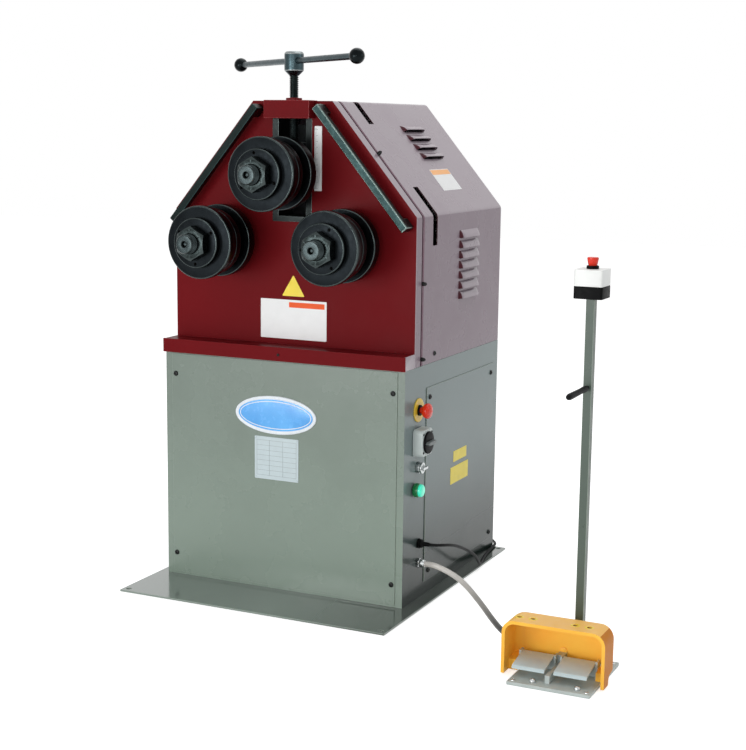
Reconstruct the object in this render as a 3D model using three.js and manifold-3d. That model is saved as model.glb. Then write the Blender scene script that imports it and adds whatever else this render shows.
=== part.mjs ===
// Ring roller: a floor-standing machine that bends bars and profiles between three rolls, with
// its foot-switch pedestal. Millimetres, +X right, +Y back, +Z up. The origin is on the floor
// under the centre of the cabinet.
import * as THREE from 'three';
import { mergeVertices } from 'three/addons/utils/BufferGeometryUtils.js';
import Module from 'manifold-3d';

const wasm = await Module();
wasm.setup();

// Clearances shared by every piece
const seat = 0.3;
const overrun = 4;
const edge = 1.2;
const softEdge = 4;

// Facets round each kind of turned piece
const rollSides = 24;
const shaftSides = 20;
const knobSides = 16;
const holeSides = 12;

// Cabinet
const cabinetWidth = 710;
const cabinetDepth = 662;
const cabinetTop = 625;
const cabinetWall = 3;
const cabinetFlange = 34;
const basePlateThickness = 5;
const basePlateFront = 194;
const basePlateLeft = 27;
const basePlateRight = 41;
const anchorRadius = 7;
const anchorInset = 17;
const panelThickness = 2;
const panelLap = 24;
const frontPanelMargin = 20;
const frontPanelFoot = 8;
const frontPanelHead = 3;
const sidePanelFront = 139;
const sidePanelBack = 33;
const sidePanelBottom = 40;
const sidePanelHead = 62;
const bedThickness = 10;
const bedOpeningWidth = 212;
const bedOpeningDepth = 230;

// Head: a front plate, a folded band behind it, and the hood
const headTopRise = 183.5;
const headShoulderRise = 75;
const headTopWidth = 231;
const faceSetback = 59.6;
const faceThickness = 3;
const frontPlateThickness = 25;
const bandDepth = 36;
const sheet = 3;
const seamGap = 7.2;
const ledgeHeight = 37;
const ledgeProud = 6;
const ledgeSideProud = 4;
const slotWidth = 116;
const slotBottomRise = 51;

// Hood ventilation
const louvreLength = 138;
const louvreHeight = 18;
const louvreProud = 11;
const louvreSkin = 1.6;
const louvrePitch = 27.4;
const slopeLouvrePitch = 31;
const slopeLouvreCount = 4;
const sideLouvreDrop = 49;
const sideLouvreFoot = 150;
const sideLouvreFromBack = 246;
const slopeLouvreStart = 80;
const slopeLouvreFromBack = 230;
const strapSlotWidth = 30;
const upperSlotSetback = 91.2;
const upperSlotEnd = 74;
const lowerSlotSetback = 78.2;
const lowerSlotAlong = 92.4;
const lowerSlotDrop = 78;

// Rolls and shafts: places along a shaft are distances in front of the head's face
const rollSpan = 360;
const rollAxisRise = 298.7;
const upperRollRise = 178;
const rollRadius = 94;
const drumRadius = 86;
const neckRadius = 62;
const innerDiscWidth = 30;
const neckWidth = 27;
const drumWidth = 46;
const outerDiscWidth = 22;
const rollChamfer = 3;
const hubRadius = 64;
const hubWidth = 18;
const rollBack = 43.6;
const shaftRadius = 25;
const shaftShoulderRadius = 38;
const shaftShoulderBack = 13.6;
const shaftTip = 26;
const shaftTipChamfer = 3;
const nutFlats = 78;
const nutWidth = 28;
const nutChamfer = 4;

// Bearings, rear plate and gear train
const bearingFlangeRadius = 62;
const bearingFlangeWidth = 12;
const lowerBearingRadius = 45;
const rearPlateSetback = 211.4;
const rearPlateThickness = 20;
const rearPlateHalfWidth = 300;
const rearPlateRise = 301;
const rearPlateCornerDrop = 265;
const rearPlateTopHalfWidth = 95;
const gearGap = 20;
const gearWidth = 30;
const gearModule = 8;
const gearTeeth = 33;
const pinionTeeth = 12;
const pressureAngle = Math.PI / 9;
const toothAddendumShare = 0.8;
const toothDedendumShare = 1.15;
const toothBacklashShare = 0.06;
const pinionShaftRadius = 20;
const gearboxGap = 4;
const gearboxDepth = 136;
const gearboxWidth = 170;
const gearboxHeight = 170;
const gearboxLegThickness = 14;
const gearboxLegDepth = 100;
const motorRadius = 84;
const motorLength = 290;
const motorCowlLength = 60;
const motorCowlRadius = 80;
const terminalBoxSize = 70;
const terminalBoxProud = 24;
const controlBoxWidth = 150;
const controlBoxDepth = 260;
const controlBoxHeight = 330;
const controlBoxBottom = 190;
const controlBoxFromBack = 291;

// Upper roll slide, its guides and the screw
const guideWidth = 17.4;
const guideDepth = 80;
const guideFoot = 14;
const slideFront = 3.4;
const slideDepth = 118;
const slideBelow = 40;
const slideAbove = 78;
const upperBearingRadius = 34;
const upperBearingFlange = 37;
const upperBearingFlangeWidth = 11;
const screwSetback = 9.4;
const screwRadius = 12;
const screwCollarRadius = 17;
const screwCollarWidth = 7;
const screwEntry = 10;
const nutWall = 8;
const bridgeDrop = 44.5;
const bridgeHalfWidth = 66;
const bridgeProud = 33.6;
const bridgeTongueDepth = 31;
const bridgeTopProud = 1.5;
const bridgeBossRadius = 21;
const bridgeBossHeight = 6;
const handleRise = 99.6;
const headHubRadius = 25;
const headHubBelow = 37.6;
const headHubAbove = 23.4;
const headHubTaper = 13;
const handleHalfLength = 366;
const handleRadius = 8;
const handleNeckRadius = 6.5;
const handleKnobRadius = 19;
const handleAngle = -Math.PI * 0.211;

// Guide bars along the slopes, and the position scale
const railSize = 20;
const railExtraLength = 22.6;
const railInset = 31;
const railProud = 45;
const railBridgeGap = 20.6;
const railLegLength = 30;
const scaleWidth = 21;
const scaleHeight = 165;
const scaleThickness = 2;
const scaleX = 76.5;
const scaleDrop = 45;

// Controls on the right side
const controlSetback = 88;
const stopDrop = 112;
const stopRingRadius = 31;
const stopRingThickness = 3;
const stopCollarRadius = 14;
const stopCollarLength = 8;
const stopHeadRadius = 20;
const stopHeadBack = 15;
const stopHeadFront = 39;
const stopStemRadius = 8;
const switchDrop = 82;
const switchWidth = 68;
const switchTall = 72;
const switchDepth = 28;
const switchCornerRadius = 10;
const switchKnobRadius = 29;
const switchKnobDepth = 6;
const switchBarDepth = 10;
const switchBarWidth = 13;
const selectorDrop = 69;
const selectorRadius = 15;
const selectorDepth = 17;
const selectorBladeDepth = 8;
const selectorBladeWidth = 7;
const startSetback = 69;
const startDrop = 56;
const startRadius = 18.5;
const startBezelGap = 3.6;
const startDepth = 23;
const controlStemRadius = 11;
const controlStemLength = 16;
const glandSetback = 102;
const mainsGlandHeight = 155;
const mainsGlandLength = 33;
const mainsGlandRadius = 12;
const mainsCordRadius = 4;
const conduitGlandHeight = 102;
const conduitGlandLength = 20;
const conduitGlandRadius = 11.5;
const conduitRadius = 7.5;
const conduitSocketWall = 2;
const glandNutWidth = 9;
const glandStubLength = 10;

// Foot-switch pedestal
const pedestalX = 873;
const pedestalPlateWidth = 194;
const pedestalFront = -693;
const pedestalBack = -462;
const pedestalThickness = 8;
const switchOffset = -10;
const guardWidth = 244;
const guardFront = -636;
const guardDepth = 94;
const guardTop = 130;
const guardFoot = 3;
const guardWall = 8;
const guardFloor = 4;
const guardCorner = 30;
const guardBackRadius = 22;
const guardLegDepth = 36;
const guardLegTop = 24;
const guardBackBottom = 31;
const housingHalfWidth = 90;
const housingDepth = 26;
const housingTop = 34;
const ribHalfWidth = 5.5;
const ribSetback = 26;
const ribHeight = 26;
const innerLugThickness = 4;
const lugThickness = 5;
const lugTop = 48;
const lugDepth = 16;
const guardLugHalfWidth = 9;
const guardLugTop = 45;
const pedalInner = 11;
const pedalWidth = 77;
const pedalThickness = 4;
const pedalPivotGap = 8;
const pedalPivotHeight = 41;
const pedalBarrelRadius = 6;
const pedalPinRadius = 3;
const pedalFront = -653;
const pedalFrontHeight = 34;
const pedalLip = 8;
const postOffset = 5;
const postSize = 20;
const postWall = 2;
const postY = -479;
const stationBottom = 858;
const stationWidth = 68;
const stationBaseHeight = 28;
const stationLidHeight = 38;
const stationCorner = 6;
const stationCornerSteps = 3;
const postStopRadius = 13;
const postStopWaist = 10;
const postStopStem = 9;
const postStopStemGap = 8;
const postStopHeight = 18;
const postStopGap = 8;
const gripHeight = 654;
const gripLength = 142;
const gripRadius = 7.5;
const gripStemRadius = 5;
const gripStemLength = 12;

// Mains lead put away behind the cabinet
const coilX = 180;
const coilY = 430;
const coilInnerRadius = 34;
const coilPitch = 8.9;
const coilLayerStep = 8.7;
const coilTurnsPerLayer = 2.5;
const coilClimbTurns = 0.25;
const coilStepsPerTurn = 24;
const coilSides = 6;
const tailLength = 70;
const tailRiseStartShare = 0.1;
const tailRiseEndShare = 0.85;
const plugRadius = 16;
const plugLength = 62;
const plugNeckRadius = 8;
const plugNeckLength = 16;
const plugPinLength = 19;
const plugPinWidth = 6;
const plugPinThickness = 2;
const plugPinCircle = 8;

// Places worked out from the sizes above
const sideX = cabinetWidth / 2;
const frontY = -cabinetDepth / 2;
const backY = cabinetDepth / 2;
const faceY = frontY + faceSetback;
const bandBack = faceY + bandDepth;
const hoodFront = bandBack + seamGap;
const rollX = rollSpan / 2;
const bedTop = cabinetTop + seat + bedThickness;
const lowerRollHeight = bedTop + rollAxisRise;
const upperRollHeight = lowerRollHeight + upperRollRise;
const headTop = upperRollHeight + headTopRise;
const headShoulder = lowerRollHeight + headShoulderRise;
const slotBottom = lowerRollHeight + slotBottomRise;
const rearPlateTop = lowerRollHeight + rearPlateRise;
const scaleBottom = upperRollHeight - scaleDrop;
const bridgeBottom = headTop - bridgeDrop;
const sidePanelTop = cabinetTop - sidePanelHead;
const stopHeight = cabinetTop - stopDrop;
const slopeRun = new THREE.Vector2(sideX - headTopWidth / 2, headShoulder - headTop);
const slopeDir = slopeRun.clone().normalize();
const slopeNormal = new THREE.Vector2(-slopeDir.y, slopeDir.x);
const slopeReach = slopeNormal.x * headTopWidth / 2 + slopeNormal.y * headTop;
const lowerSlotStart = slopeRun.length() - lowerSlotAlong;
const lowerSlotBottom = headShoulder - lowerSlotDrop;
const railLength = slopeRun.length() + railExtraLength;
const sideLouvreTop = headShoulder - sideLouvreDrop;
const sideLouvreRoom = sideLouvreTop - bedTop - seat - sideLouvreFoot;
const sideLouvreCount = Math.floor(sideLouvreRoom / louvrePitch) + 1;
const screwY = faceY + screwSetback;
const rearPlateY = faceY + rearPlateSetback;
const rearPlateBack = rearPlateY + rearPlateThickness;
const gearY = rearPlateBack + gearGap;
const gearBack = gearY + gearWidth;
const gearboxFront = gearBack + gearboxGap;
const upperSlotY = hoodFront + upperSlotSetback;
const lowerSlotY = hoodFront + lowerSlotSetback;
const sideLouvreY = backY - sideLouvreFromBack;
const slopeLouvreY = backY - slopeLouvreFromBack;
const controlBoxY = backY - controlBoxFromBack;
const bridgeTop = headTop + bridgeTopProud;
const handleHeight = bridgeTop + handleRise;
const headHubBottom = handleHeight - headHubBelow;
const headHubTop = handleHeight + headHubAbove;
const controlY = frontY + controlSetback;
const startY = frontY + startSetback;
const glandY = frontY + glandSetback;
const switchHeight = stopHeight - switchDrop;
const selectorHeight = switchHeight - selectorDrop;
const startHeight = selectorHeight - startDrop;
const slideFrontY = faceY + slideFront;
const stationTop = stationBottom + stationBaseHeight + seat + stationLidHeight;
const conduitEnd = new THREE.Vector3(817, -518, 20);
const coilOuterY = coilY + coilInnerRadius + coilPitch * coilTurnsPerLayer;

// Materials
const paint = (color, roughness, metalness) =>
  new THREE.MeshStandardMaterial({ color, roughness, metalness });
const greyGreen = paint(0x7a8a7d, 0.5, 0.1);
const maroon = paint(0x70222a, 0.45, 0.1);
const mauve = paint(0x998e94, 0.45, 0.1);
const blackSteel = paint(0x1c2022, 0.35, 0.8);
const darkSteel = paint(0x3c4543, 0.4, 0.8);
const brightSteel = paint(0xb8bcbc, 0.3, 0.9);
const castGrey = paint(0x5f686b, 0.6, 0.3);
const bronze = paint(0xa8803c, 0.4, 0.8);
const blackPlastic = paint(0x141516, 0.5, 0);
const whitePlastic = paint(0xeef0ee, 0.4, 0);
const greyPlastic = paint(0xc4cac6, 0.5, 0);
const redPlastic = paint(0xd8331f, 0.35, 0);
const greenPlastic = paint(0x2fd9a4, 0.3, 0);
const yellowPlastic = paint(0xe0c030, 0.4, 0);
const orangePaint = paint(0xf0982a, 0.45, 0);
const pedalGrey = paint(0xa9aca6, 0.5, 0.4);

// Closed geometry to a solid for joining and cutting, and back
function solid(geometry) {
  const bare = geometry.clone();
  bare.deleteAttribute('normal');
  bare.deleteAttribute('uv');
  const merged = mergeVertices(bare);
  return new wasm.Manifold(new wasm.Mesh({
    numProp: 3,
    vertProperties: new Float32Array(merged.attributes.position.array),
    triVerts: new Uint32Array(merged.index.array),
  }));
}

function geometryOf(shape) {
  const mesh = shape.getMesh();
  const geometry = new THREE.BufferGeometry();
  geometry.setAttribute('position', new THREE.BufferAttribute(new Float32Array(mesh.vertProperties), 3));
  geometry.setIndex(new THREE.BufferAttribute(new Uint32Array(mesh.triVerts), 1));
  const flat = geometry.toNonIndexed();
  flat.computeVertexNormals();
  return flat;
}

const join = (first, ...others) => others.reduce((sum, next) => sum.add(next), first);
const cut = (first, ...others) => others.reduce((rest, next) => rest.subtract(next), first);

// Basic closed shapes
function block(x0, x1, y0, y1, z0, z1) {
  const geometry = new THREE.BoxGeometry(x1 - x0, y1 - y0, z1 - z0);
  return solid(geometry.translate((x0 + x1) / 2, (y0 + y1) / 2, (z0 + z1) / 2));
}

// A profile of [radius, height] pairs turned about one axis; the profile starts and ends on it
function turned(profile, axis, sides) {
  const points = profile.map(([radius, height]) => new THREE.Vector2(radius, height));
  const geometry = new THREE.LatheGeometry(points, sides);
  if (axis === 'z') geometry.rotateX(Math.PI / 2);
  if (axis === 'x') geometry.rotateZ(-Math.PI / 2);
  return geometry;
}

function rod(axis, radius, from, to, sides = shaftSides) {
  return solid(turned([[0, from], [radius, from], [radius, to], [0, to]], axis, sides));
}

function tubeRing(axis, inner, outer, from, to, sides = shaftSides) {
  return solid(turned([[inner, from], [outer, from], [outer, to], [inner, to], [inner, from]], axis, sides));
}

// An outline in X and Z made into a plate that runs from y0 back to y1
function plateY(points, y0, y1) {
  const shape = new THREE.Shape(points.map(([x, z]) => new THREE.Vector2(x, z)));
  const geometry = new THREE.ExtrudeGeometry(shape, { depth: y1 - y0, bevelEnabled: false });
  return solid(geometry.rotateX(Math.PI / 2).translate(0, y1, 0));
}

// An outline in Y and Z made into a bar that runs from x0 to x1
function plateX(points, x0, x1) {
  const shape = new THREE.Shape(points.map(([y, z]) => new THREE.Vector2(y, z)));
  const geometry = new THREE.ExtrudeGeometry(shape, { depth: x1 - x0, bevelEnabled: false });
  return solid(geometry.rotateX(Math.PI / 2).rotateZ(Math.PI / 2).translate(x0, 0, 0));
}

// A rectangle with rounded corners as [x, z] points
function roundedRectangle(width, height, radius, steps = 4) {
  const corners = [[1, 1, 0], [-1, 1, 1], [-1, -1, 2], [1, -1, 3]];
  const points = [];
  for (const [sx, sz, quarter] of corners) {
    for (let i = 0; i <= steps; i += 1) {
      const angle = (quarter + i / steps) * Math.PI / 2;
      points.push([
        sx * (width / 2 - radius) + radius * Math.cos(angle),
        sz * (height / 2 - radius) + radius * Math.sin(angle),
      ]);
    }
  }
  return points;
}

const moved = (shape, x, y, z) => solid(geometryOf(shape).translate(x, y, z));

// The scene: nested groups carry the placed pieces
const ringRoller = new THREE.Group();

function group(x, y, z, parent = ringRoller) {
  const made = new THREE.Group();
  made.position.set(x, y, z);
  parent.add(made);
  return made;
}

function piece(name, shape, material, parent = ringRoller) {
  const geometry = shape instanceof THREE.BufferGeometry ? shape : geometryOf(shape);
  const mesh = new THREE.Mesh(geometry, material);
  mesh.name = name;
  parent.add(mesh);
  return mesh;
}

// Cabinet: base plate, four-walled shell, lap-on panels and the bed that carries the head
function basePlate() {
  const left = -sideX - basePlateLeft;
  const right = sideX + basePlateRight;
  const front = frontY - basePlateFront;
  let plate = block(left, right, front, backY, 0, basePlateThickness);
  for (const x of [left + anchorInset, right - anchorInset]) {
    for (const y of [front + anchorInset, backY - anchorInset]) {
      const hole = rod('z', anchorRadius, -overrun, basePlateThickness + overrun, holeSides);
      plate = cut(plate, moved(hole, x, y, 0));
    }
  }
  piece('base_plate', plate, greyGreen);
}

function frontPanelSize() {
  return {
    halfWidth: sideX - frontPanelMargin,
    bottom: basePlateThickness + frontPanelFoot,
    top: cabinetTop - frontPanelHead,
  };
}

function cabinetShell() {
  const front = frontY + panelThickness + seat;
  const bottom = basePlateThickness + seat;
  const outer = block(-sideX, sideX, front, backY, bottom, cabinetTop);
  const hollow = block(-sideX + cabinetWall, sideX - cabinetWall, front + cabinetWall, backY - cabinetWall,
    bottom - overrun, cabinetTop - cabinetWall);
  const mouth = block(-sideX + cabinetFlange, sideX - cabinetFlange, front + cabinetFlange,
    backY - cabinetFlange, cabinetTop - cabinetWall - overrun, cabinetTop + overrun);
  const size = frontPanelSize();
  const frontDoor = block(-size.halfWidth + panelLap, size.halfWidth - panelLap, front - overrun,
    front + cabinetWall + overrun, size.bottom + panelLap, size.top - panelLap);
  const sideDoor = block(sideX - cabinetWall - overrun, sideX + overrun, frontY + sidePanelFront + panelLap,
    backY - sidePanelBack - panelLap, sidePanelBottom + panelLap, sidePanelTop - panelLap);
  const holes = [
    [controlY, stopHeight, stopStemRadius],
    [controlY, switchHeight, controlStemRadius],
    [controlY, selectorHeight, controlStemRadius],
    [startY, startHeight, controlStemRadius],
    [glandY, mainsGlandHeight, glandNutWidth],
    [glandY, conduitGlandHeight, glandNutWidth],
  ].map(([y, z, radius]) => moved(
    rod('x', radius + seat, sideX - cabinetWall - overrun, sideX + overrun, knobSides), 0, y, z));
  piece('cabinet_shell', cut(outer, hollow, mouth, frontDoor, sideDoor, ...holes), greyGreen);
}

function cabinetPanels() {
  const size = frontPanelSize();
  const front = block(-size.halfWidth, size.halfWidth, frontY, frontY + panelThickness,
    size.bottom, size.top);
  piece('front_panel', front, greyGreen);
  const side = block(sideX + seat, sideX + seat + panelThickness, frontY + sidePanelFront,
    backY - sidePanelBack, sidePanelBottom, sidePanelTop);
  piece('side_panel', side, greyGreen);
}

function bedPlate() {
  const margin = cabinetWall + seat;
  const centre = gearboxFront + gearboxDepth / 2;
  const plate = block(-sideX + margin, sideX - margin, frontY + margin, backY - margin,
    cabinetTop + seat, bedTop);
  const opening = block(-bedOpeningWidth / 2, bedOpeningWidth / 2, centre - bedOpeningDepth / 2,
    centre + bedOpeningDepth / 2, cabinetTop - overrun, bedTop + overrun);
  piece('bed_plate', cut(plate, opening), castGrey);
}

// Head outline: straight sides, two slopes and a flat top, drawn in by an inset
function gable(inset, bottom) {
  const reach = slopeReach - inset;
  const x = sideX - inset;
  const top = headTop - inset;
  const shoulder = (reach - slopeNormal.x * x) / slopeNormal.y;
  const topX = (reach - slopeNormal.y * top) / slopeNormal.x;
  return [[-x, bottom], [x, bottom], [x, shoulder], [topX, top], [-topX, top], [-x, shoulder]];
}

function shaftBore(radius, x, z, y0, y1) {
  return moved(rod('y', radius, y0 - overrun, y1 + overrun), x, 0, z);
}

function headFrame() {
  const foot = bedTop + seat;
  const thick = plateY(gable(sheet + seat, foot), faceY, faceY + frontPlateThickness);
  const face = plateY(gable(0, foot), faceY, faceY + faceThickness);
  const slot = block(-slotWidth / 2, slotWidth / 2, faceY - overrun,
    faceY + frontPlateThickness + overrun, slotBottom, headTop + overrun);
  const bores = [-rollX, rollX].map((x) => shaftBore(lowerBearingRadius + seat, x, lowerRollHeight,
    faceY, faceY + frontPlateThickness));
  const ledgeFront = frontY - ledgeProud;
  const ledgeTop = cabinetTop + ledgeHeight;
  const shelf = block(-sideX, sideX, ledgeFront, faceY + faceThickness, ledgeTop - sheet, ledgeTop);
  const lip = block(-sideX - ledgeSideProud, sideX + ledgeSideProud, ledgeFront, ledgeFront + sheet,
    cabinetTop + seat, ledgeTop);
  const ends = [-sideX, sideX - sheet].map((x) => block(x, x + sheet, ledgeFront, faceY + faceThickness,
    cabinetTop + seat, ledgeTop));
  piece('head_frame', join(cut(join(thick, face), slot, ...bores), shelf, lip, ...ends), maroon);
}

function headBand() {
  const bottom = cabinetTop + seat;
  const y0 = faceY + faceThickness + seat;
  const skin = cut(plateY(gable(0, bottom), y0, bandBack),
    plateY(gable(sheet, bottom - overrun), y0 - overrun, bandBack + overrun));
  const notch = block(-slotWidth / 2 - seat, slotWidth / 2 + seat, y0 - overrun,
    faceY + bridgeTongueDepth + seat, headTop - sheet - overrun, headTop + overrun);
  piece('head_band', cut(skin, notch), mauve);
}

function louvrePair() {
  const root = sheet / 2;
  const fall = louvreHeight / louvreProud;
  const outer = [[-root, root * fall], [louvreProud, -louvreHeight], [-root, -louvreHeight]];
  const head = -seat * fall - louvreSkin * 2;
  const foot = -louvreHeight - overrun;
  const inner = [
    [-sheet - overrun, head], [seat, head], [(-foot - louvreSkin * 2) / fall, foot], [seat, foot],
    [seat, seat - louvreHeight], [-sheet - overrun, seat - louvreHeight],
  ];
  return {
    outer: plateY(outer, -louvreLength / 2, louvreLength / 2),
    inner: plateY(inner, -louvreLength / 2 + louvreSkin, louvreLength / 2 - louvreSkin),
  };
}

// Places a shape made for a wall that faces +X on the right slope, a distance down from its top
function onSlope(shape, side, along, y) {
  const tilt = Math.atan2(slopeNormal.y, slopeNormal.x);
  const geometry = geometryOf(shape).rotateY(-tilt);
  geometry.translate(headTopWidth / 2 + slopeDir.x * along, y, headTop + slopeDir.y * along);
  return solid(side < 0 ? flipped(geometry.scale(-1, 1, 1)) : geometry);
}

function onSide(shape, side, y, z) {
  const geometry = geometryOf(shape).translate(sideX, y, z);
  return solid(side < 0 ? flipped(geometry.scale(-1, 1, 1)) : geometry);
}

function hood() {
  const bottom = cabinetTop + seat;
  let shell = cut(plateY(gable(0, bottom), hoodFront, backY),
    plateY(gable(sheet, bottom - overrun), hoodFront - overrun, backY - sheet));
  const louvre = louvrePair();
  const deep = sheet + overrun;
  const halfSlot = strapSlotWidth / 2;
  for (const side of [1, -1]) {
    const lids = [];
    const mouths = [];
    for (let i = 0; i < sideLouvreCount; i += 1) {
      const z = sideLouvreTop - i * louvrePitch;
      lids.push(onSide(louvre.outer, side, sideLouvreY, z));
      mouths.push(onSide(louvre.inner, side, sideLouvreY, z));
    }
    for (let i = 0; i < slopeLouvreCount; i += 1) {
      const along = slopeLouvreStart + i * slopeLouvrePitch;
      lids.push(onSlope(louvre.outer, side, along, slopeLouvreY));
      mouths.push(onSlope(louvre.inner, side, along, slopeLouvreY));
    }
    const upper = block(-deep, overrun, -halfSlot, halfSlot, -upperSlotEnd, halfSlot);
    const lower = block(-deep, overrun, -halfSlot, halfSlot, lowerSlotStart - slopeRun.length() - overrun, 0);
    const down = block(-deep, overrun, -halfSlot, halfSlot, lowerSlotBottom - headShoulder, 0);
    mouths.push(onSlope(upper, side, 0, upperSlotY));
    mouths.push(onSlope(lower, side, lowerSlotStart, lowerSlotY));
    mouths.push(onSide(down, side, lowerSlotY, headShoulder));
    shell = cut(join(shell, ...lids), ...mouths);
  }
  piece('hood', shell, mauve);
}

// Rear bearing plate inside the head
function rearPlate() {
  const shoulder = rearPlateTop - rearPlateCornerDrop;
  const outline = [
    [-rearPlateHalfWidth, bedTop + seat], [rearPlateHalfWidth, bedTop + seat],
    [rearPlateHalfWidth, shoulder], [rearPlateTopHalfWidth, rearPlateTop],
    [-rearPlateTopHalfWidth, rearPlateTop],
    [-rearPlateHalfWidth, shoulder],
  ];
  const seats = [[-rollX, lowerBearingRadius + seat], [0, turningBore(pinionShaftRadius)],
    [rollX, lowerBearingRadius + seat]];
  const bores = seats.map(([x, radius]) => shaftBore(radius, x, lowerRollHeight, rearPlateY, rearPlateBack));
  piece('rear_plate', cut(plateY(outline, rearPlateY, rearPlateBack), ...bores), castGrey);
}

// The radius of a faceted hole whose flats stay clear of the corners of a shaft that turns in it
const turningBore = (radius, sides = shaftSides) => (radius + seat) / Math.cos(Math.PI / sides);

// A shaft's own group has its origin on the head's face; y there is minus the distance in front
function ringPiece(name, profile, material, parent, sides = shaftSides) {
  return piece(name, turned(profile, 'y', sides), material, parent);
}

function bearing(name, parent, outerRadius, flangeRadius, flangeWidth, seatY, length) {
  const bore = turningBore(shaftRadius);
  const flangeBack = seatY - seat;
  const profile = [
    [bore, flangeBack - flangeWidth], [flangeRadius, flangeBack - flangeWidth],
    [flangeRadius, flangeBack], [outerRadius, flangeBack], [outerRadius, seatY + length],
    [bore, seatY + length], [bore, flangeBack - flangeWidth],
  ];
  ringPiece(name, profile, darkSteel, parent);
}

function hexagon(flats) {
  const points = [];
  for (let i = 0; i < 6; i += 1) {
    const angle = (i + 0.5) * Math.PI / 3;
    const radius = flats / Math.sqrt(3);
    points.push([radius * Math.cos(angle), radius * Math.sin(angle)]);
  }
  return points;
}

function rollSet(side, parent, shaftBack) {
  const innerFront = -rollBack - innerDiscWidth;
  const neckFront = innerFront - neckWidth;
  const outerBack = neckFront - seat;
  const drumFront = outerBack - drumWidth;
  const discFront = drumFront - outerDiscWidth;
  const hubFront = discFront - hubWidth;
  const nutFront = hubFront - seat - nutWidth;
  const tip = nutFront - shaftTip;
  const bore = shaftRadius + seat;
  const c = rollChamfer;

  ringPiece(`${side}_inner_roll`, [
    [bore, neckFront], [neckRadius, neckFront], [neckRadius, innerFront], [rollRadius, innerFront],
    [rollRadius, -rollBack], [bore, -rollBack], [bore, neckFront],
  ], blackSteel, parent, rollSides);

  ringPiece(`${side}_outer_roll`, [
    [bore, hubFront], [hubRadius, hubFront], [hubRadius, discFront], [rollRadius - c, discFront],
    [rollRadius, discFront + c], [rollRadius, drumFront], [drumRadius, drumFront],
    [drumRadius, outerBack], [bore, outerBack], [bore, hubFront],
  ], blackSteel, parent, rollSides);

  const blank = plateY(hexagon(nutFlats), nutFront, hubFront - seat);
  const corner = nutFlats / Math.sqrt(3);
  const dome = solid(turned([
    [0, nutFront], [nutFlats / 2, nutFront], [corner, nutFront + nutChamfer],
    [corner, hubFront - seat + overrun], [0, hubFront - seat + overrun],
  ], 'y', rollSides));
  piece(`${side}_shaft_nut`, cut(blank.intersect(dome), rod('y', bore, nutFront - overrun,
    hubFront + overrun)), darkSteel, parent);

  ringPiece(`${side}_shaft`, [
    [0, tip], [shaftRadius - shaftTipChamfer, tip], [shaftRadius, tip + shaftTipChamfer],
    [shaftRadius, -rollBack + seat], [shaftShoulderRadius, -rollBack + seat],
    [shaftShoulderRadius, -shaftShoulderBack], [shaftRadius, -shaftShoulderBack],
    [shaftRadius, shaftBack], [0, shaftBack],
  ], blackSteel, parent);
}

// Spur gear outline with involute flanks, a tooth or a space centred on +X
function gearOutline(teeth, spaceFirst) {
  const pitch = gearModule * teeth / 2;
  const base = pitch * Math.cos(pressureAngle);
  const tip = pitch + gearModule * toothAddendumShare;
  const root = pitch - gearModule * toothDedendumShare;
  const involute = (radius) => {
    const ratio = Math.max(radius / base, 1);
    return Math.sqrt(ratio * ratio - 1) - Math.acos(1 / ratio);
  };
  const halfTooth = Math.PI / (2 * teeth) * (1 - toothBacklashShare * 2);
  const halfAngle = (radius) => halfTooth + involute(pitch) - involute(radius);
  const radii = [root, tip];
  const points = [];
  for (let i = 0; i < teeth; i += 1) {
    const centre = (i + (spaceFirst ? 0.5 : 0)) * 2 * Math.PI / teeth;
    const corner = (radius, angle) => points.push([radius * Math.cos(angle), radius * Math.sin(angle)]);
    for (const radius of radii) corner(radius, centre - halfAngle(radius));
    for (const radius of [...radii].reverse()) corner(radius, centre + halfAngle(radius));
  }
  return points;
}

function lowerGear(name, spaceFirst, parent) {
  const y0 = gearY - faceY;
  const y1 = gearBack - faceY;
  const blank = plateY(gearOutline(gearTeeth, spaceFirst), y0, y1);
  piece(name, cut(blank, rod('y', shaftRadius + seat, y0 - overrun, y1 + overrun)), brightSteel, parent);
}

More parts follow.
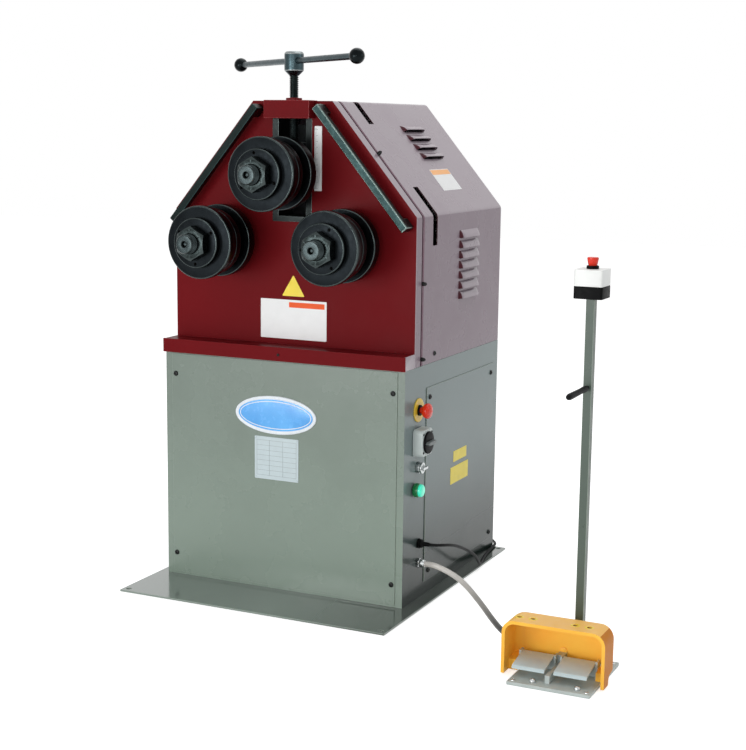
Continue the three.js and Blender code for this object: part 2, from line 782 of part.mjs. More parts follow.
function driveTrain() {
  const axis = group(0, 0, lowerRollHeight);
  const pinion = plateY(gearOutline(pinionTeeth, true), gearY, gearBack);
  const shaft = rod('y', pinionShaftRadius, rearPlateY, gearboxFront + gearboxDepth / 2);
  piece('drive_pinion', join(pinion, shaft), brightSteel, axis);

  const half = gearboxWidth / 2;
  const top = lowerRollHeight + gearboxHeight / 2;
  const bottom = lowerRollHeight - gearboxHeight / 2;
  const back = gearboxFront + gearboxDepth;
  const centre = gearboxFront + gearboxDepth / 2;
  const casting = block(-half, half, gearboxFront, back, bottom, top);
  const bore = shaftBore(turningBore(pinionShaftRadius), 0, lowerRollHeight, gearboxFront, centre);
  const legX = bedOpeningWidth / 2;
  const legs = [-1, 1].map((side) => {
    const inner = side * half;
    const outer = side * (legX + gearboxLegThickness);
    return join(
      block(Math.min(side * legX, outer), Math.max(side * legX, outer), centre - gearboxLegDepth / 2,
        centre + gearboxLegDepth / 2, bedTop + seat, lowerRollHeight),
      block(Math.min(inner - side * overrun, outer), Math.max(inner - side * overrun, outer),
        centre - gearboxLegDepth / 2, centre + gearboxLegDepth / 2, bottom, lowerRollHeight),
    );
  });
  piece('gearbox', join(cut(casting, bore), ...legs), castGrey);

  const motorTop = bottom - seat;
  const motorBottom = motorTop - motorLength;
  const body = solid(turned([
    [0, motorBottom], [motorCowlRadius - softEdge, motorBottom], [motorCowlRadius, motorBottom + softEdge],
    [motorCowlRadius, motorBottom + motorCowlLength], [motorRadius, motorBottom + motorCowlLength],
    [motorRadius, motorTop], [0, motorTop],
  ], 'z', shaftSides));
  const box = block(-terminalBoxSize / 2, terminalBoxSize / 2, -motorRadius - terminalBoxProud, 0,
    motorBottom + motorCowlLength, motorBottom + motorCowlLength + terminalBoxSize);
  piece('drive_motor', join(body, box), castGrey, group(0, centre, 0));
}

function controlBox() {
  const left = -sideX + cabinetWall + seat;
  piece('control_box', block(left, left + controlBoxWidth, controlBoxY - controlBoxDepth / 2,
    controlBoxY + controlBoxDepth / 2, controlBoxBottom, controlBoxBottom + controlBoxHeight), greyPlastic);
}

// Vertical guides in the head's slot, and the block that slides between them
function slideGuides() {
  const outerX = slotWidth / 2 - seat;
  const innerX = outerX - guideWidth;
  const bottom = slotBottom + seat;
  const bars = block(-outerX, outerX, faceY, faceY + guideDepth, bottom, bridgeBottom - seat);
  const gap = block(-innerX, innerX, faceY - overrun, faceY + guideDepth + overrun,
    bottom + guideFoot, bridgeBottom + overrun);
  piece('slide_guides', cut(bars, gap), darkSteel);
}

function slideBlock() {
  const halfWidth = slotWidth / 2 - seat - guideWidth - seat;
  const body = block(-halfWidth, halfWidth, slideFrontY, slideFrontY + slideDepth,
    upperRollHeight - slideBelow, upperRollHeight + slideAbove);
  const bore = shaftBore(upperBearingRadius + seat, 0, upperRollHeight, slideFrontY,
    slideFrontY + slideDepth);
  const top = upperRollHeight + slideAbove;
  const collarTop = top - screwEntry;
  const collarBottom = collarTop - screwCollarWidth - seat * 2;
  const pocket = solid(turned([
    [0, collarBottom], [screwCollarRadius + seat, collarBottom],
    [screwCollarRadius + seat, collarTop], [screwRadius + seat, collarTop],
    [screwRadius + seat, top + overrun], [0, top + overrun],
  ], 'z', shaftSides));
  piece('slide_block', cut(body, bore, moved(pocket, 0, screwY, 0)), darkSteel);
}

function bridgeBlock() {
  const front = faceY - seat;
  const bossTop = bridgeTop + bridgeBossHeight;
  const nutSeat = bossTop - nutWall / 2;
  const cap = block(-bridgeHalfWidth, bridgeHalfWidth, faceY - bridgeProud, front, bridgeBottom, bridgeTop);
  const tongue = block(-slotWidth / 2 + seat, slotWidth / 2 - seat, front - overrun,
    faceY + bridgeTongueDepth, bridgeBottom, bridgeTop);
  const boss = moved(rod('z', bridgeBossRadius, bridgeTop - overrun, bossTop), 0, screwY, 0);
  const nutRadius = screwRadius + seat + nutWall;
  const bore = moved(rod('z', nutRadius + seat, bridgeBottom - overrun, nutSeat), 0, screwY, 0);
  const eye = moved(rod('z', screwRadius + seat, bridgeBottom, bossTop + overrun), 0, screwY, 0);
  piece('bridge_block', cut(join(cap, tongue, boss), bore, eye), maroon);
  const nut = tubeRing('z', screwRadius + seat, nutRadius, bridgeBottom, nutSeat - seat);
  piece('spindle_nut', nut, bronze, group(0, screwY, 0));
}

function screwAndHandle() {
  const axis = group(0, screwY, 0);
  const collarTop = upperRollHeight + slideAbove - screwEntry - seat;
  const hubEdge = handleNeckRadius / 2;
  const body = solid(turned([
    [0, collarTop - screwCollarWidth], [screwCollarRadius, collarTop - screwCollarWidth],
    [screwCollarRadius, collarTop], [screwRadius, collarTop], [screwRadius, headHubBottom],
    [headHubRadius, headHubBottom + headHubTaper], [headHubRadius, headHubTop - hubEdge],
    [headHubRadius - hubEdge, headHubTop], [0, headHubTop],
  ], 'z', shaftSides));
  const eye = geometryOf(rod('x', handleRadius + seat, -headHubRadius - overrun, headHubRadius + overrun,
    knobSides));
  eye.rotateZ(handleAngle).translate(0, 0, handleHeight);
  piece('spindle', cut(body, solid(eye)), blackSteel, axis);

  const knobRim = [];
  const steps = 6;
  const neckAngle = Math.asin(handleNeckRadius / handleKnobRadius);
  for (let i = 0; i <= steps; i += 1) {
    const angle = neckAngle + (Math.PI - neckAngle) * i / steps;
    knobRim.push([handleKnobRadius * Math.sin(angle), handleHalfLength - handleKnobRadius * Math.cos(angle)]);
  }
  knobRim[steps][0] = 0;
  const taper = handleKnobRadius * 2;
  const half = [[handleRadius, handleHalfLength - taper], ...knobRim];
  const mirrored = [...half].reverse().map(([radius, height]) => [radius, -height]);
  const bar = piece('handle_bar', turned([...mirrored, ...half], 'x', knobSides), darkSteel, axis);
  bar.position.z = handleHeight;
  bar.rotation.z = handleAngle;
}

// Square guide bars that stand off the face on two legs
function rail(name, side) {
  const proud = railProud - seat;
  const legBack = -seat;
  const barBack = -proud + railSize;
  const bar = block(0, railLength, -proud, barBack, -railSize / 2, railSize / 2);
  const legs = [0, railLength - railLegLength].map((x) => block(x, x + railLegLength, barBack - overrun,
    legBack, -railSize / 2, railSize / 2));
  const placed = geometryOf(join(bar, ...legs));
  const x = bridgeHalfWidth + railBridgeGap;
  const z = (slopeReach - railInset - slopeNormal.x * x) / slopeNormal.y;
  placed.rotateY(Math.atan2(-slopeDir.y, slopeDir.x)).translate(x, 0, z);
  if (side < 0) placed.scale(-1, 1, 1);
  const geometry = side < 0 ? flipped(placed) : placed;
  piece(name, geometry, darkSteel, group(0, faceY, 0));
}

// A mirrored geometry needs its triangles turned round
function flipped(geometry) {
  const positions = geometry.attributes.position.array;
  const turnedRound = new Float32Array(positions.length);
  for (let i = 0; i < positions.length; i += 9) {
    for (const [to, from] of [[0, 0], [3, 6], [6, 3]]) {
      turnedRound.set(positions.subarray(i + from, i + from + 3), i + to);
    }
  }
  const made = new THREE.BufferGeometry();
  made.setAttribute('position', new THREE.BufferAttribute(turnedRound, 3));
  made.computeVertexNormals();
  return made;
}

function positionScale() {
  piece('position_scale', block(scaleX - scaleWidth / 2, scaleX + scaleWidth / 2,
    faceY - seat - scaleThickness, faceY - seat, scaleBottom, scaleBottom + scaleHeight), brightSteel);
}

// Controls on the right side: each in a group with its origin on the cabinet's surface
function sideControls() {
  const stop = group(sideX, controlY, stopHeight);
  piece('stop_ring', turned([
    [stopStemRadius + seat, seat], [stopRingRadius, seat], [stopRingRadius, seat + stopRingThickness],
    [stopCollarRadius, seat + stopRingThickness], [stopCollarRadius, stopCollarLength],
    [stopStemRadius + seat, stopCollarLength], [stopStemRadius + seat, seat],
  ], 'x', shaftSides), yellowPlastic, stop);
  piece('stop_button', turned([
    [0, -controlStemLength], [stopStemRadius, -controlStemLength], [stopStemRadius, stopHeadBack],
    [stopHeadRadius - softEdge, stopHeadBack], [stopHeadRadius, stopHeadBack + softEdge],
    [stopHeadRadius, stopHeadFront - softEdge * 2],
    [stopHeadRadius / 2, stopHeadFront], [0, stopHeadFront],
  ], 'x', shaftSides), redPlastic, stop);

  const power = group(sideX, controlY, switchHeight);
  const outline = roundedRectangle(switchWidth, switchTall, switchCornerRadius);
  const housing = cut(plateX(outline, seat, switchDepth), rod('x', controlStemRadius + seat, -overrun,
    switchDepth + overrun, knobSides));
  piece('switch_housing', housing, greyPlastic, power);
  const knobBack = switchDepth + seat;
  const knobFront = knobBack + switchKnobDepth;
  const disc = rod('x', switchKnobRadius, knobBack, knobFront);
  const stem = rod('x', controlStemRadius, -controlStemLength, knobBack + seat, knobSides);
  const bar = block(knobFront - seat, knobFront + switchBarDepth, -switchKnobRadius + softEdge,
    switchKnobRadius - softEdge, -switchBarWidth / 2, switchBarWidth / 2);
  piece('switch_knob', join(disc, stem, bar), blackPlastic, power);

  const selector = group(sideX, controlY, selectorHeight);
  const barrel = solid(turned([
    [0, -controlStemLength], [controlStemRadius, -controlStemLength], [controlStemRadius, seat],
    [selectorRadius, seat], [selectorRadius, selectorDepth], [0, selectorDepth],
  ], 'x', knobSides));
  const blade = block(selectorDepth - seat, selectorDepth + selectorBladeDepth, -selectorBladeWidth / 2,
    selectorBladeWidth / 2, -selectorRadius + seat, selectorRadius - seat);
  piece('key_selector', join(barrel, blade), brightSteel, selector);

  piece('start_button', turned([
    [0, -controlStemLength], [controlStemRadius, -controlStemLength], [controlStemRadius, startBezelGap],
    [startRadius, startBezelGap], [startRadius, startDepth], [startRadius - softEdge, startDepth + softEdge],
    [0, startDepth + softEdge],
  ], 'x', knobSides), greenPlastic, group(sideX, startY, startHeight));
}

function gland(name, height, bodyRadius, length, cordRadius) {
  const hex = plateX(hexagon(bodyRadius * 2), seat, glandNutWidth);
  const body = solid(turned([
    [0, -glandStubLength], [glandNutWidth, -glandStubLength], [glandNutWidth, glandNutWidth - seat],
    [bodyRadius - seat, glandNutWidth - seat], [cordRadius + edge, length], [0, length],
  ], 'x', knobSides));
  piece(name, join(hex, body), blackPlastic, group(sideX, glandY, height));
}

// Pedestal: foot switch with guard, post, grip and emergency stop station
function pedestal() {
  const foot = group(pedestalX, 0, 0);
  const unit = group(switchOffset, 0, 0, foot);
  const guardBack = guardFront + guardDepth;
  const housingBack = guardBack - guardWall - seat;
  const housingFront = housingBack - housingDepth;
  const half = pedestalPlateWidth / 2;
  const plate = block(-half, half, pedestalFront, pedestalBack, 0, pedestalThickness);
  const t = pedestalThickness - seat;
  const housing = block(-housingHalfWidth, housingHalfWidth, housingFront, housingBack, t, housingTop);
  const pivotY = housingFront - pedalPivotGap;
  const rib = block(-ribHalfWidth, ribHalfWidth, pedestalFront + ribSetback, housingFront + overrun,
    t, ribHeight);
  const innerLug = ribHalfWidth + innerLugThickness;
  const outerLug = pedalInner + pedalWidth + seat;
  const lugs = [[-outerLug - lugThickness, -outerLug], [-innerLug, -ribHalfWidth],
    [ribHalfWidth, innerLug], [outerLug, outerLug + lugThickness]].map(([x0, x1]) => block(x0, x1,
    pivotY - lugDepth / 2, housingFront + overrun, t, lugTop));
  const pinBore = moved(rod('x', pedalPinRadius + seat, -half, half, holeSides), 0, pivotY, pedalPivotHeight);
  const socket = rod('y', conduitRadius + conduitSocketWall, housingBack - overrun, conduitEnd.y - seat,
    knobSides);
  const nub = moved(socket, conduitEnd.x - pedestalX - switchOffset, 0, conduitEnd.z);
  const guardLug = block(-guardLugHalfWidth, guardLugHalfWidth, housingFront, housingBack, t, guardLugTop);
  const works = join(cut(join(housing, guardLug, rib, ...lugs), pinBore), nub);
  piece('pedal_base', join(plate, moved(works, switchOffset, 0, 0)), pedalGrey, foot);

  guard(unit, guardBack);
  for (const [name, side] of [['left_pedal', -1], ['right_pedal', 1]]) pedal(name, side, unit, pivotY);
  post(foot);
}

// The guard's hull, drawn in by an inset: an arch from the front, rounded off at the back
function guardHull(inset, front, guardBack) {
  const half = guardWidth / 2 - inset;
  const back = guardBack - inset;
  const steps = 4;
  const arc = (cx, cz, radius, from) => Array.from({ length: steps + 1 }, (_, i) => {
    const angle = (from + i / steps) * Math.PI / 2;
    return [cx + radius * Math.cos(angle), cz + radius * Math.sin(angle)];
  });
  const corner = guardCorner - inset;
  const top = guardTop - inset;
  const arch = plateY([
    [-half, -overrun], [half, -overrun],
    ...arc(half - corner, top - corner, corner, 0), ...arc(corner - half, top - corner, corner, 1),
  ], front, back);
  const plan = geometryOf(plateY([
    [half, front], ...arc(half - corner, back - corner, corner, 0),
    ...arc(corner - half, back - corner, corner, 1), [-half, front],
  ].map(([x, y]) => [x, -y]).reverse(), 0, guardTop)).rotateX(Math.PI / 2);
  const profile = plateX([
    [front, -overrun], [back, -overrun],
    ...arc(back - guardBackRadius + inset, top - guardBackRadius + inset, guardBackRadius - inset, 0),
    [front, top],
  ], -guardWidth, guardWidth);
  return arch.intersect(solid(plan)).intersect(profile);
}

function guard(unit, guardBack) {
  const outer = guardHull(0, guardFront, guardBack);
  const inner = guardHull(guardWall, guardFront - overrun, guardBack);
  const under = plateX([
    [guardFront - overrun, -guardTop], [guardBack + overrun, -guardTop],
    [guardBack + overrun, guardBackBottom], [guardBack, guardBackBottom],
    [guardFront + guardLegDepth, guardLegTop], [guardFront + guardLegDepth, guardFoot],
    [guardFront - overrun, guardFoot],
  ], -guardWidth, guardWidth);
  const floorInner = pedalInner + pedalWidth + lugThickness + seat * 2;
  const floorSlab = plateX([
    [guardFront + guardLegDepth, guardLegTop], [guardBack, guardBackBottom],
    [guardBack, guardBackBottom + guardFloor], [guardFront + guardLegDepth, guardLegTop + guardFloor],
  ], -guardWidth, guardWidth);
  const middle = block(-floorInner, floorInner, guardFront, guardBack - guardWall, 0, guardTop);
  const floor = cut(outer.intersect(floorSlab), middle);
  const skirtBack = guardFront + guardLegDepth;
  const skirts = [[-guardWidth, -floorInner, guardFoot], [floorInner, guardWidth, pedestalThickness + seat]]
    .map(([x0, x1, foot]) => outer.intersect(block(x0, x1, skirtBack - guardFloor, skirtBack + overrun,
      foot, guardLegTop + guardFloor)));
  piece('pedal_guard', join(cut(outer, inner, under), floor, ...skirts), orangePaint, unit);
}

function pedal(name, side, unit, pivotY) {
  const back = pivotY - pedalBarrelRadius;
  const top = pedalPivotHeight + pedalBarrelRadius;
  const z = pedalFrontHeight;
  const t = pedalThickness;
  const outline = [
    [pivotY, top], [pedalFront, z], [pedalFront - t, z - t], [pedalFront - t, z - pedalLip],
    [pedalFront, z - pedalLip], [pedalFront + t, z - t], [back, top - t - seat], [pivotY, top - t - seat],
  ];
  const inner = pedalInner;
  const outer = pedalInner + pedalWidth;
  const tread = plateX(outline, inner, outer);
  const barrel = moved(rod('x', pedalBarrelRadius, inner, outer, holeSides), 0, pivotY, pedalPivotHeight);
  const pin = moved(rod('x', pedalPinRadius, ribHalfWidth + seat,
    outer + seat + lugThickness, holeSides), 0, pivotY, pedalPivotHeight);
  const shape = geometryOf(join(tread, barrel, pin));
  piece(name, side < 0 ? flipped(shape.scale(-1, 1, 1)) : shape, pedalGrey, unit);
}

function post(foot) {
  const stand = group(postOffset, postY, 0, foot);
  const half = postSize / 2;
  const inner = half - postWall;
  const tube = cut(
    block(-half, half, -half, half, pedestalThickness + seat, stationBottom - seat),
    block(-inner, inner, -inner, inner, -overrun, stationBottom + overrun));
  piece('post', tube, greyGreen, stand);

  const grip = solid(turned([
    [0, -half - seat], [gripStemRadius, -half - seat], [gripStemRadius, -half - gripStemLength],
    [gripRadius, -half - gripStemLength], [gripRadius, -half - gripLength + gripRadius],
    [gripRadius / 2, -half - gripLength], [0, -half - gripLength],
  ].reverse(), 'y', knobSides));
  piece('post_grip', grip, blackPlastic, group(0, 0, gripHeight, stand));

  const outline = roundedRectangle(stationWidth, stationWidth, stationCorner, stationCornerSteps);
  const slab = (z0, z1) => solid(
    geometryOf(plateY(outline, 0, z1 - z0)).rotateX(Math.PI / 2).translate(0, 0, z0));
  const baseTop = stationBottom + stationBaseHeight;
  piece('station_base', slab(stationBottom, baseTop), blackPlastic, stand);
  const lid = cut(slab(baseTop + seat, stationTop), rod('z', postStopStem + seat, baseTop - overrun,
    stationTop + overrun, knobSides));
  piece('station_lid', lid, whitePlastic, stand);
  const headBottom = stationTop + postStopGap;
  piece('station_button', turned([
    [0, baseTop + postStopStemGap], [postStopStem, baseTop + postStopStemGap], [postStopStem, headBottom],
    [postStopWaist, headBottom], [postStopRadius, headBottom + postStopHeight - edge],
    [postStopRadius - edge, headBottom + postStopHeight], [0, headBottom + postStopHeight],
  ], 'z', knobSides), redPlastic, stand);
}

// Free cords follow points chosen by hand, as a smooth curve through them
function roundTube(points, radius, sides, steps) {
  const section = new THREE.Shape();
  for (let i = 0; i < sides; i += 1) {
    const angle = i * 2 * Math.PI / sides;
    const x = radius * Math.cos(angle);
    const y = radius * Math.sin(angle);
    if (i === 0) section.moveTo(x, y);
    else section.lineTo(x, y);
  }
  const path = new THREE.CatmullRomCurve3(points, false, 'centripetal');
  const options = { steps, extrudePath: path, bevelEnabled: false, curveSegments: 1 };
  return new THREE.ExtrudeGeometry(section, options);
}

const mainsStart = new THREE.Vector3(sideX + mainsGlandLength + seat, glandY, mainsGlandHeight);
const mainsRoute = [
  [399, -228.6, 155.4], [409, -224, 155.2], [418, -213, 153.8], [424, -195, 150.5], [426, -170, 144],
  [425, -140, 134.8], [423, -105, 122.2], [420, -65, 107], [417, -20, 87.8], [414, 30, 63.5],
  [409, 62, 45.5], [404, 88, 28.6], [399.6, 108, 17.4], [395.4, 128, 11], [389.5, 152, 9.2],
  [382, 182, 9.1], [375, 218, 9.1], [369.5, 255, 9.1], [365.5, 292, 9.1], [362.5, 318, 9.1],
  [359.5, 336, 8.9], [354, 354, 6.6], [345, 373, 4.4], [332, 391, 4.1], [316, 408, 4.1],
  [299, 425, 4.1], [282, 441, 4.1], [265, 456, 4.1], [247, 469, 4.1], [228, 479, 4.1],
  [208, 485.2, 4.1],
];
const conduitStart = new THREE.Vector3(sideX + conduitGlandLength + seat, glandY, conduitGlandHeight);
const conduitRoute = [
  [386, -229, 102], [402, -229.5, 101], [424, -232, 96.5], [452, -238, 89], [482, -249, 79.5],
  [512, -267, 68], [545, -295, 56], [580, -329, 44], [616, -366, 31.5], [652, -400, 20.5],
  [688, -424, 11.8], [722, -435, 8.2], [745, -437, 8.8], [763, -440, 11.8], [781, -447, 15.8],
  [797, -459, 18.8], [810, -478, 19.8], [816.4, -498, 20], [817, -509, 20],
];

function freeCords() {
  const coilStart = new THREE.Vector3(coilX + mainsCordRadius * 2 + seat, coilOuterY, mainsCordRadius);
  const points = mainsRoute.map((p) => new THREE.Vector3(...p));
  piece('mains_cord', roundTube([mainsStart, ...points, coilStart], mainsCordRadius, 8, 64), blackPlastic);
  const run = conduitRoute.map((p) => new THREE.Vector3(...p));
  piece('conduit', roundTube([conduitStart, ...run, conduitEnd], conduitRadius, 10, 28), greyPlastic);
}

// Centre line of the coil: spirals in on the floor, climbs in the half turn where it reverses,
// spirals out on top, and runs straight on to the plug
function coilPoints() {
  const turns = coilTurnsPerLayer * 2;
  const steps = turns * coilStepsPerTurn;
  const points = [new THREE.Vector3(coilX + mainsCordRadius * 2, coilOuterY, mainsCordRadius)];
  for (let i = 0; i <= steps; i += 1) {
    const turn = i / coilStepsPerTurn;
    const radius = coilInnerRadius + coilPitch * Math.abs(turn - coilTurnsPerLayer);
    const climb = THREE.MathUtils.smoothstep(turn, coilTurnsPerLayer - coilClimbTurns,
      coilTurnsPerLayer + coilClimbTurns);
    const angle = Math.PI / 2 + turn * 2 * Math.PI;
    points.push(new THREE.Vector3(coilX + radius * Math.cos(angle), coilY + radius * Math.sin(angle),
      mainsCordRadius + coilLayerStep * climb));
  }
  const upperZ = mainsCordRadius + coilLayerStep;
  const tailSteps = 6;
  for (let i = 1; i <= tailSteps; i += 1) {
    const share = i / tailSteps;
    const rise = THREE.MathUtils.smoothstep(share, tailRiseStartShare, tailRiseEndShare);
    points.push(new THREE.Vector3(coilX - tailLength * share, coilOuterY,
      upperZ + rise * (plugRadius - upperZ)));
  }
  return points;
}

// A closed tube with flat ends along points, its section turned level
function windingTube(points, radius, sides) {
  const up = new THREE.Vector3(0, 0, 1);
  const positions = [];
  const rings = points.map((point, i) => {
    const before = points[Math.max(i - 1, 0)];
    const after = points[Math.min(i + 1, points.length - 1)];
    const along = new THREE.Vector3().subVectors(after, before).normalize();
    const across = new THREE.Vector3().crossVectors(along, up).normalize();
    const rise = new THREE.Vector3().crossVectors(across, along);
    const ring = [];
    for (let k = 0; k < sides; k += 1) {
      const angle = (k + 0.5) * 2 * Math.PI / sides;
      ring.push(point.clone().addScaledVector(across, radius * Math.cos(angle))
        .addScaledVector(rise, radius * Math.sin(angle)));
    }
    return ring;
  });
  const face = (...corners) => corners.forEach((corner) => positions.push(corner.x, corner.y, corner.z));
  for (let i = 0; i + 1 < rings.length; i += 1) {
    for (let k = 0; k < sides; k += 1) {
      const next = (k + 1) % sides;
      face(rings[i][k], rings[i + 1][next], rings[i][next]);
      face(rings[i][k], rings[i + 1][k], rings[i + 1][next]);
    }
  }
  const last = rings[rings.length - 1];
  for (let k = 1; k + 1 < sides; k += 1) {
    face(rings[0][0], rings[0][k], rings[0][k + 1]);
    face(last[0], last[k + 1], last[k]);
  }
  const geometry = new THREE.BufferGeometry();
  geometry.setAttribute('position', new THREE.Float32BufferAttribute(positions, 3));
  geometry.computeVertexNormals();
  return geometry;
}

function mainsCoil() {
  const points = coilPoints();
  const finer = new THREE.CatmullRomCurve3(points).getSpacedPoints(points.length * 3);
  console.log('least gap in the coil, mm:', leastGap(finer).toFixed(2));
  piece('mains_coil', windingTube(points, mainsCordRadius, coilSides), blackPlastic);
}

// Least gap between the coil's stretches that aren't neighbours along it
function leastGap(points) {
  let least = Infinity;
  const length = points[0].distanceTo(points[1]);
  const apart = Math.ceil(coilInnerRadius * 2 / length);
  for (let i = 0; i < points.length; i += 1) {
    for (let j = i + apart; j < points.length; j += 1) {
      least = Math.min(least, points[i].distanceTo(points[j]));
    }
  }
  return least - mainsCordRadius * 2;
}

function mainsPlug() {
  const front = -plugNeckLength - plugLength;
  const body = solid(turned([
    [0, -seat], [plugNeckRadius - seat, -seat], [plugNeckRadius, -plugNeckLength],
    [plugRadius, -plugNeckLength - softEdge], [plugRadius, front + edge],
    [plugRadius - edge, front], [0, front],
  ].reverse(), 'x', knobSides));
  const pins = [];
  for (let i = 0; i < 3; i += 1) {
    const angle = Math.PI / 2 + i * 2 * Math.PI / 3;
    const y = plugPinCircle * Math.cos(angle);
    const z = plugPinCircle * Math.sin(angle);
    pins.push(block(front - plugPinLength, front + seat, y - plugPinThickness / 2, y + plugPinThickness / 2,
      z - plugPinWidth / 2, z + plugPinWidth / 2));
  }
  piece('mains_plug', join(body, ...pins), blackPlastic,
    group(coilX - tailLength, coilOuterY, plugRadius));
}

basePlate();
cabinetShell();
cabinetPanels();
bedPlate();
headFrame();
headBand();
hood();
rearPlate();
slideGuides();
bridgeBlock();
positionScale();
rail('left_rail', -1);
rail('right_rail', 1);
controlBox();
driveTrain();

for (const [side, x] of [['left', -rollX], ['right', rollX]]) {
  const station = group(x, faceY, lowerRollHeight);
  bearing(`${side}_bearing`, station, lowerBearingRadius, bearingFlangeRadius, bearingFlangeWidth,
    0, rearPlateBack - faceY);
  rollSet(side, station, gearBack - faceY);
  lowerGear(`${side}_gear`, side === 'right', station);
}

slideBlock();
const upperStation = group(0, faceY, upperRollHeight);
bearing('upper_bearing', upperStation, upperBearingRadius, upperBearingFlange, upperBearingFlangeWidth,
  slideFront, slideDepth);
rollSet('upper', upperStation, slideFront + slideDepth + overrun);
screwAndHandle();

sideControls();
gland('mains_gland', mainsGlandHeight, mainsGlandRadius, mainsGlandLength, mainsCordRadius);
gland('conduit_gland', conduitGlandHeight, conduitGlandRadius, conduitGlandLength, conduitRadius);
pedestal();
freeCords();
mainsCoil();
mainsPlug();

export default ringRoller;
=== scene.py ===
# %% [markdown]
# # A ring roller, dressed for its portrait
# The CAD model gives the true sizes, the joints and the frame. This lesson loads it, lays its two cords,
# and then builds a detailed piece for every part that shows: bevelled sheet metal, turned steel rolls,
# pressed louvres, switches, and a foot switch with its guard.

# %% Load the frame
import bmesh
import bpy
import math
from mathutils import Matrix, Vector


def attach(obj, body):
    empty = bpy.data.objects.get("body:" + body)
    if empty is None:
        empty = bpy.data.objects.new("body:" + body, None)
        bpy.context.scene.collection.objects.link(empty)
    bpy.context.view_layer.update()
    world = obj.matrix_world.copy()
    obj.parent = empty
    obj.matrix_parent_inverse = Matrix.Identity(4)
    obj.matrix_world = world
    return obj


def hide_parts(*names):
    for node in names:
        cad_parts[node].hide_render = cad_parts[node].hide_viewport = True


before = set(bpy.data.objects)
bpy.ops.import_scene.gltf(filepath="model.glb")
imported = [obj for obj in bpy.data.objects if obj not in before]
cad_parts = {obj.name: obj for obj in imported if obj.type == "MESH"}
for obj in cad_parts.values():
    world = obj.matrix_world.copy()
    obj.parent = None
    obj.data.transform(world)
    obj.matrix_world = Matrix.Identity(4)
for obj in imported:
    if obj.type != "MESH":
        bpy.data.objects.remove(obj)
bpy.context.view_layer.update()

# %% [markdown]
# ## The camera
# The camera stands where the photographer stood. It could be placed by eye, but its place and angles were
# solved from the cabinet's corners, so straight edges in the render fall where they do in the picture.

# %% Camera
camera_place = Vector((1.8609, -3.7244, 1.2388))
pitch, yaw, roll = (math.radians(v) for v in (9.514, 25.167, 0.662))
forward = Vector((-math.sin(yaw) * math.cos(pitch), math.cos(yaw) * math.cos(pitch), -math.sin(pitch)))
level_right = Vector((math.cos(yaw), math.sin(yaw), 0))
level_up = level_right.cross(forward)
right = level_right * math.cos(roll) + level_up * math.sin(roll)
up = level_up * math.cos(roll) - level_right * math.sin(roll)

camera_data = bpy.data.cameras.new("camera")
camera_data.sensor_width = 36
camera_data.lens = 71.87
camera = bpy.data.objects.new("camera", camera_data)
camera.matrix_world = Matrix((right, up, -forward)).transposed().to_4x4()
camera.location = camera_place
bpy.context.collection.objects.link(camera)
scene = bpy.context.scene
scene.camera = camera
print("camera looks along", forward)

# %% [markdown]
# ## Small tools for shapes
# A shape here is a list of points in millimetres, a list of faces, and a material number for each face.
# Plain lists are easy to move, to mark and to join before Blender sees them.

# %% Points and faces
MM = 0.001


def shape(points, faces, marks=None):
    return points, faces, marks or [0] * len(faces)


def at(x=0, y=0, z=0):
    return Matrix.Translation((x, y, z))


def pointing(direction, place=(0, 0, 0)):
    """A matrix that turns Z to a direction and sets it down at a place."""
    turn = Vector(direction).normalized().to_track_quat("Z", "Y").to_matrix().to_4x4()
    return Matrix.Translation(place) @ turn


def moved(made, matrix):
    points, faces, marks = made
    return [tuple(matrix @ Vector(p)) for p in points], faces, marks


def marked(made, mark):
    return made[0], made[1], [mark] * len(made[1])


def together(*shapes):
    points, faces, marks = [], [], []
    for p, f, m in shapes:
        faces += [tuple(i + len(points) for i in face) for face in f]
        points += p
        marks += m
    return points, faces, marks


print("one unit of a shape is", MM, "m")

# %% [markdown]
# A shape becomes a mesh in metres. Its faces are shaded smooth and split only where they meet at more than an
# angle, so a turned part looks round and its shoulders stay crisp.

# %% Shapes into meshes
crisp_angle = 35


def shade(mesh, angle=crisp_angle):
    mesh.polygons.foreach_set("use_smooth", [True] * len(mesh.polygons))
    mesh.set_sharp_from_angle(angle=math.radians(angle))


def outward(mesh):
    """Turns all faces of a closed mesh outwards."""
    work = bmesh.new()
    work.from_mesh(mesh)
    bmesh.ops.recalc_face_normals(work, faces=work.faces)
    work.to_mesh(mesh)
    work.free()


def mesh_of(name, made, materials, start):
    """A mesh in metres about a start point in mm."""
    points, faces, marks = made
    mesh = bpy.data.meshes.new(name)
    mesh.from_pydata([(Vector(p) - start) * MM for p in points], [], faces)
    for material in materials:
        mesh.materials.append(material)
    mesh.polygons.foreach_set("material_index", marks)
    outward(mesh)
    return mesh


print("edges stay crisp from", crisp_angle, "degrees")

# %% [markdown]
# `piece` turns a shape into an object. It hides the CAD nodes that the object stands for, and it rides on a
# body of the model, so it moves with its joint.

# %% Meshes into pieces
def placed(name, data):
    made_object = bpy.data.objects.new(name, data)
    bpy.context.collection.objects.link(made_object)
    return made_object


def piece(name, made, materials, body="machine", slot=None, replaces=(), origin=(0, 0, 0),
          angle=crisp_angle):
    start = Vector(origin)
    mesh = mesh_of(name, made, materials, start)
    shade(mesh, angle)
    made_object = placed(name, mesh)
    made_object.location = start * MM
    if replaces:
        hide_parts(*replaces)
    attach(made_object, body)
    return made_object


# %% [markdown]
# An outline is a list of corners. A corner with a third number is rounded by that much, and the faces that
# grow from a rounded corner later get material 1, so an edge can look worn.

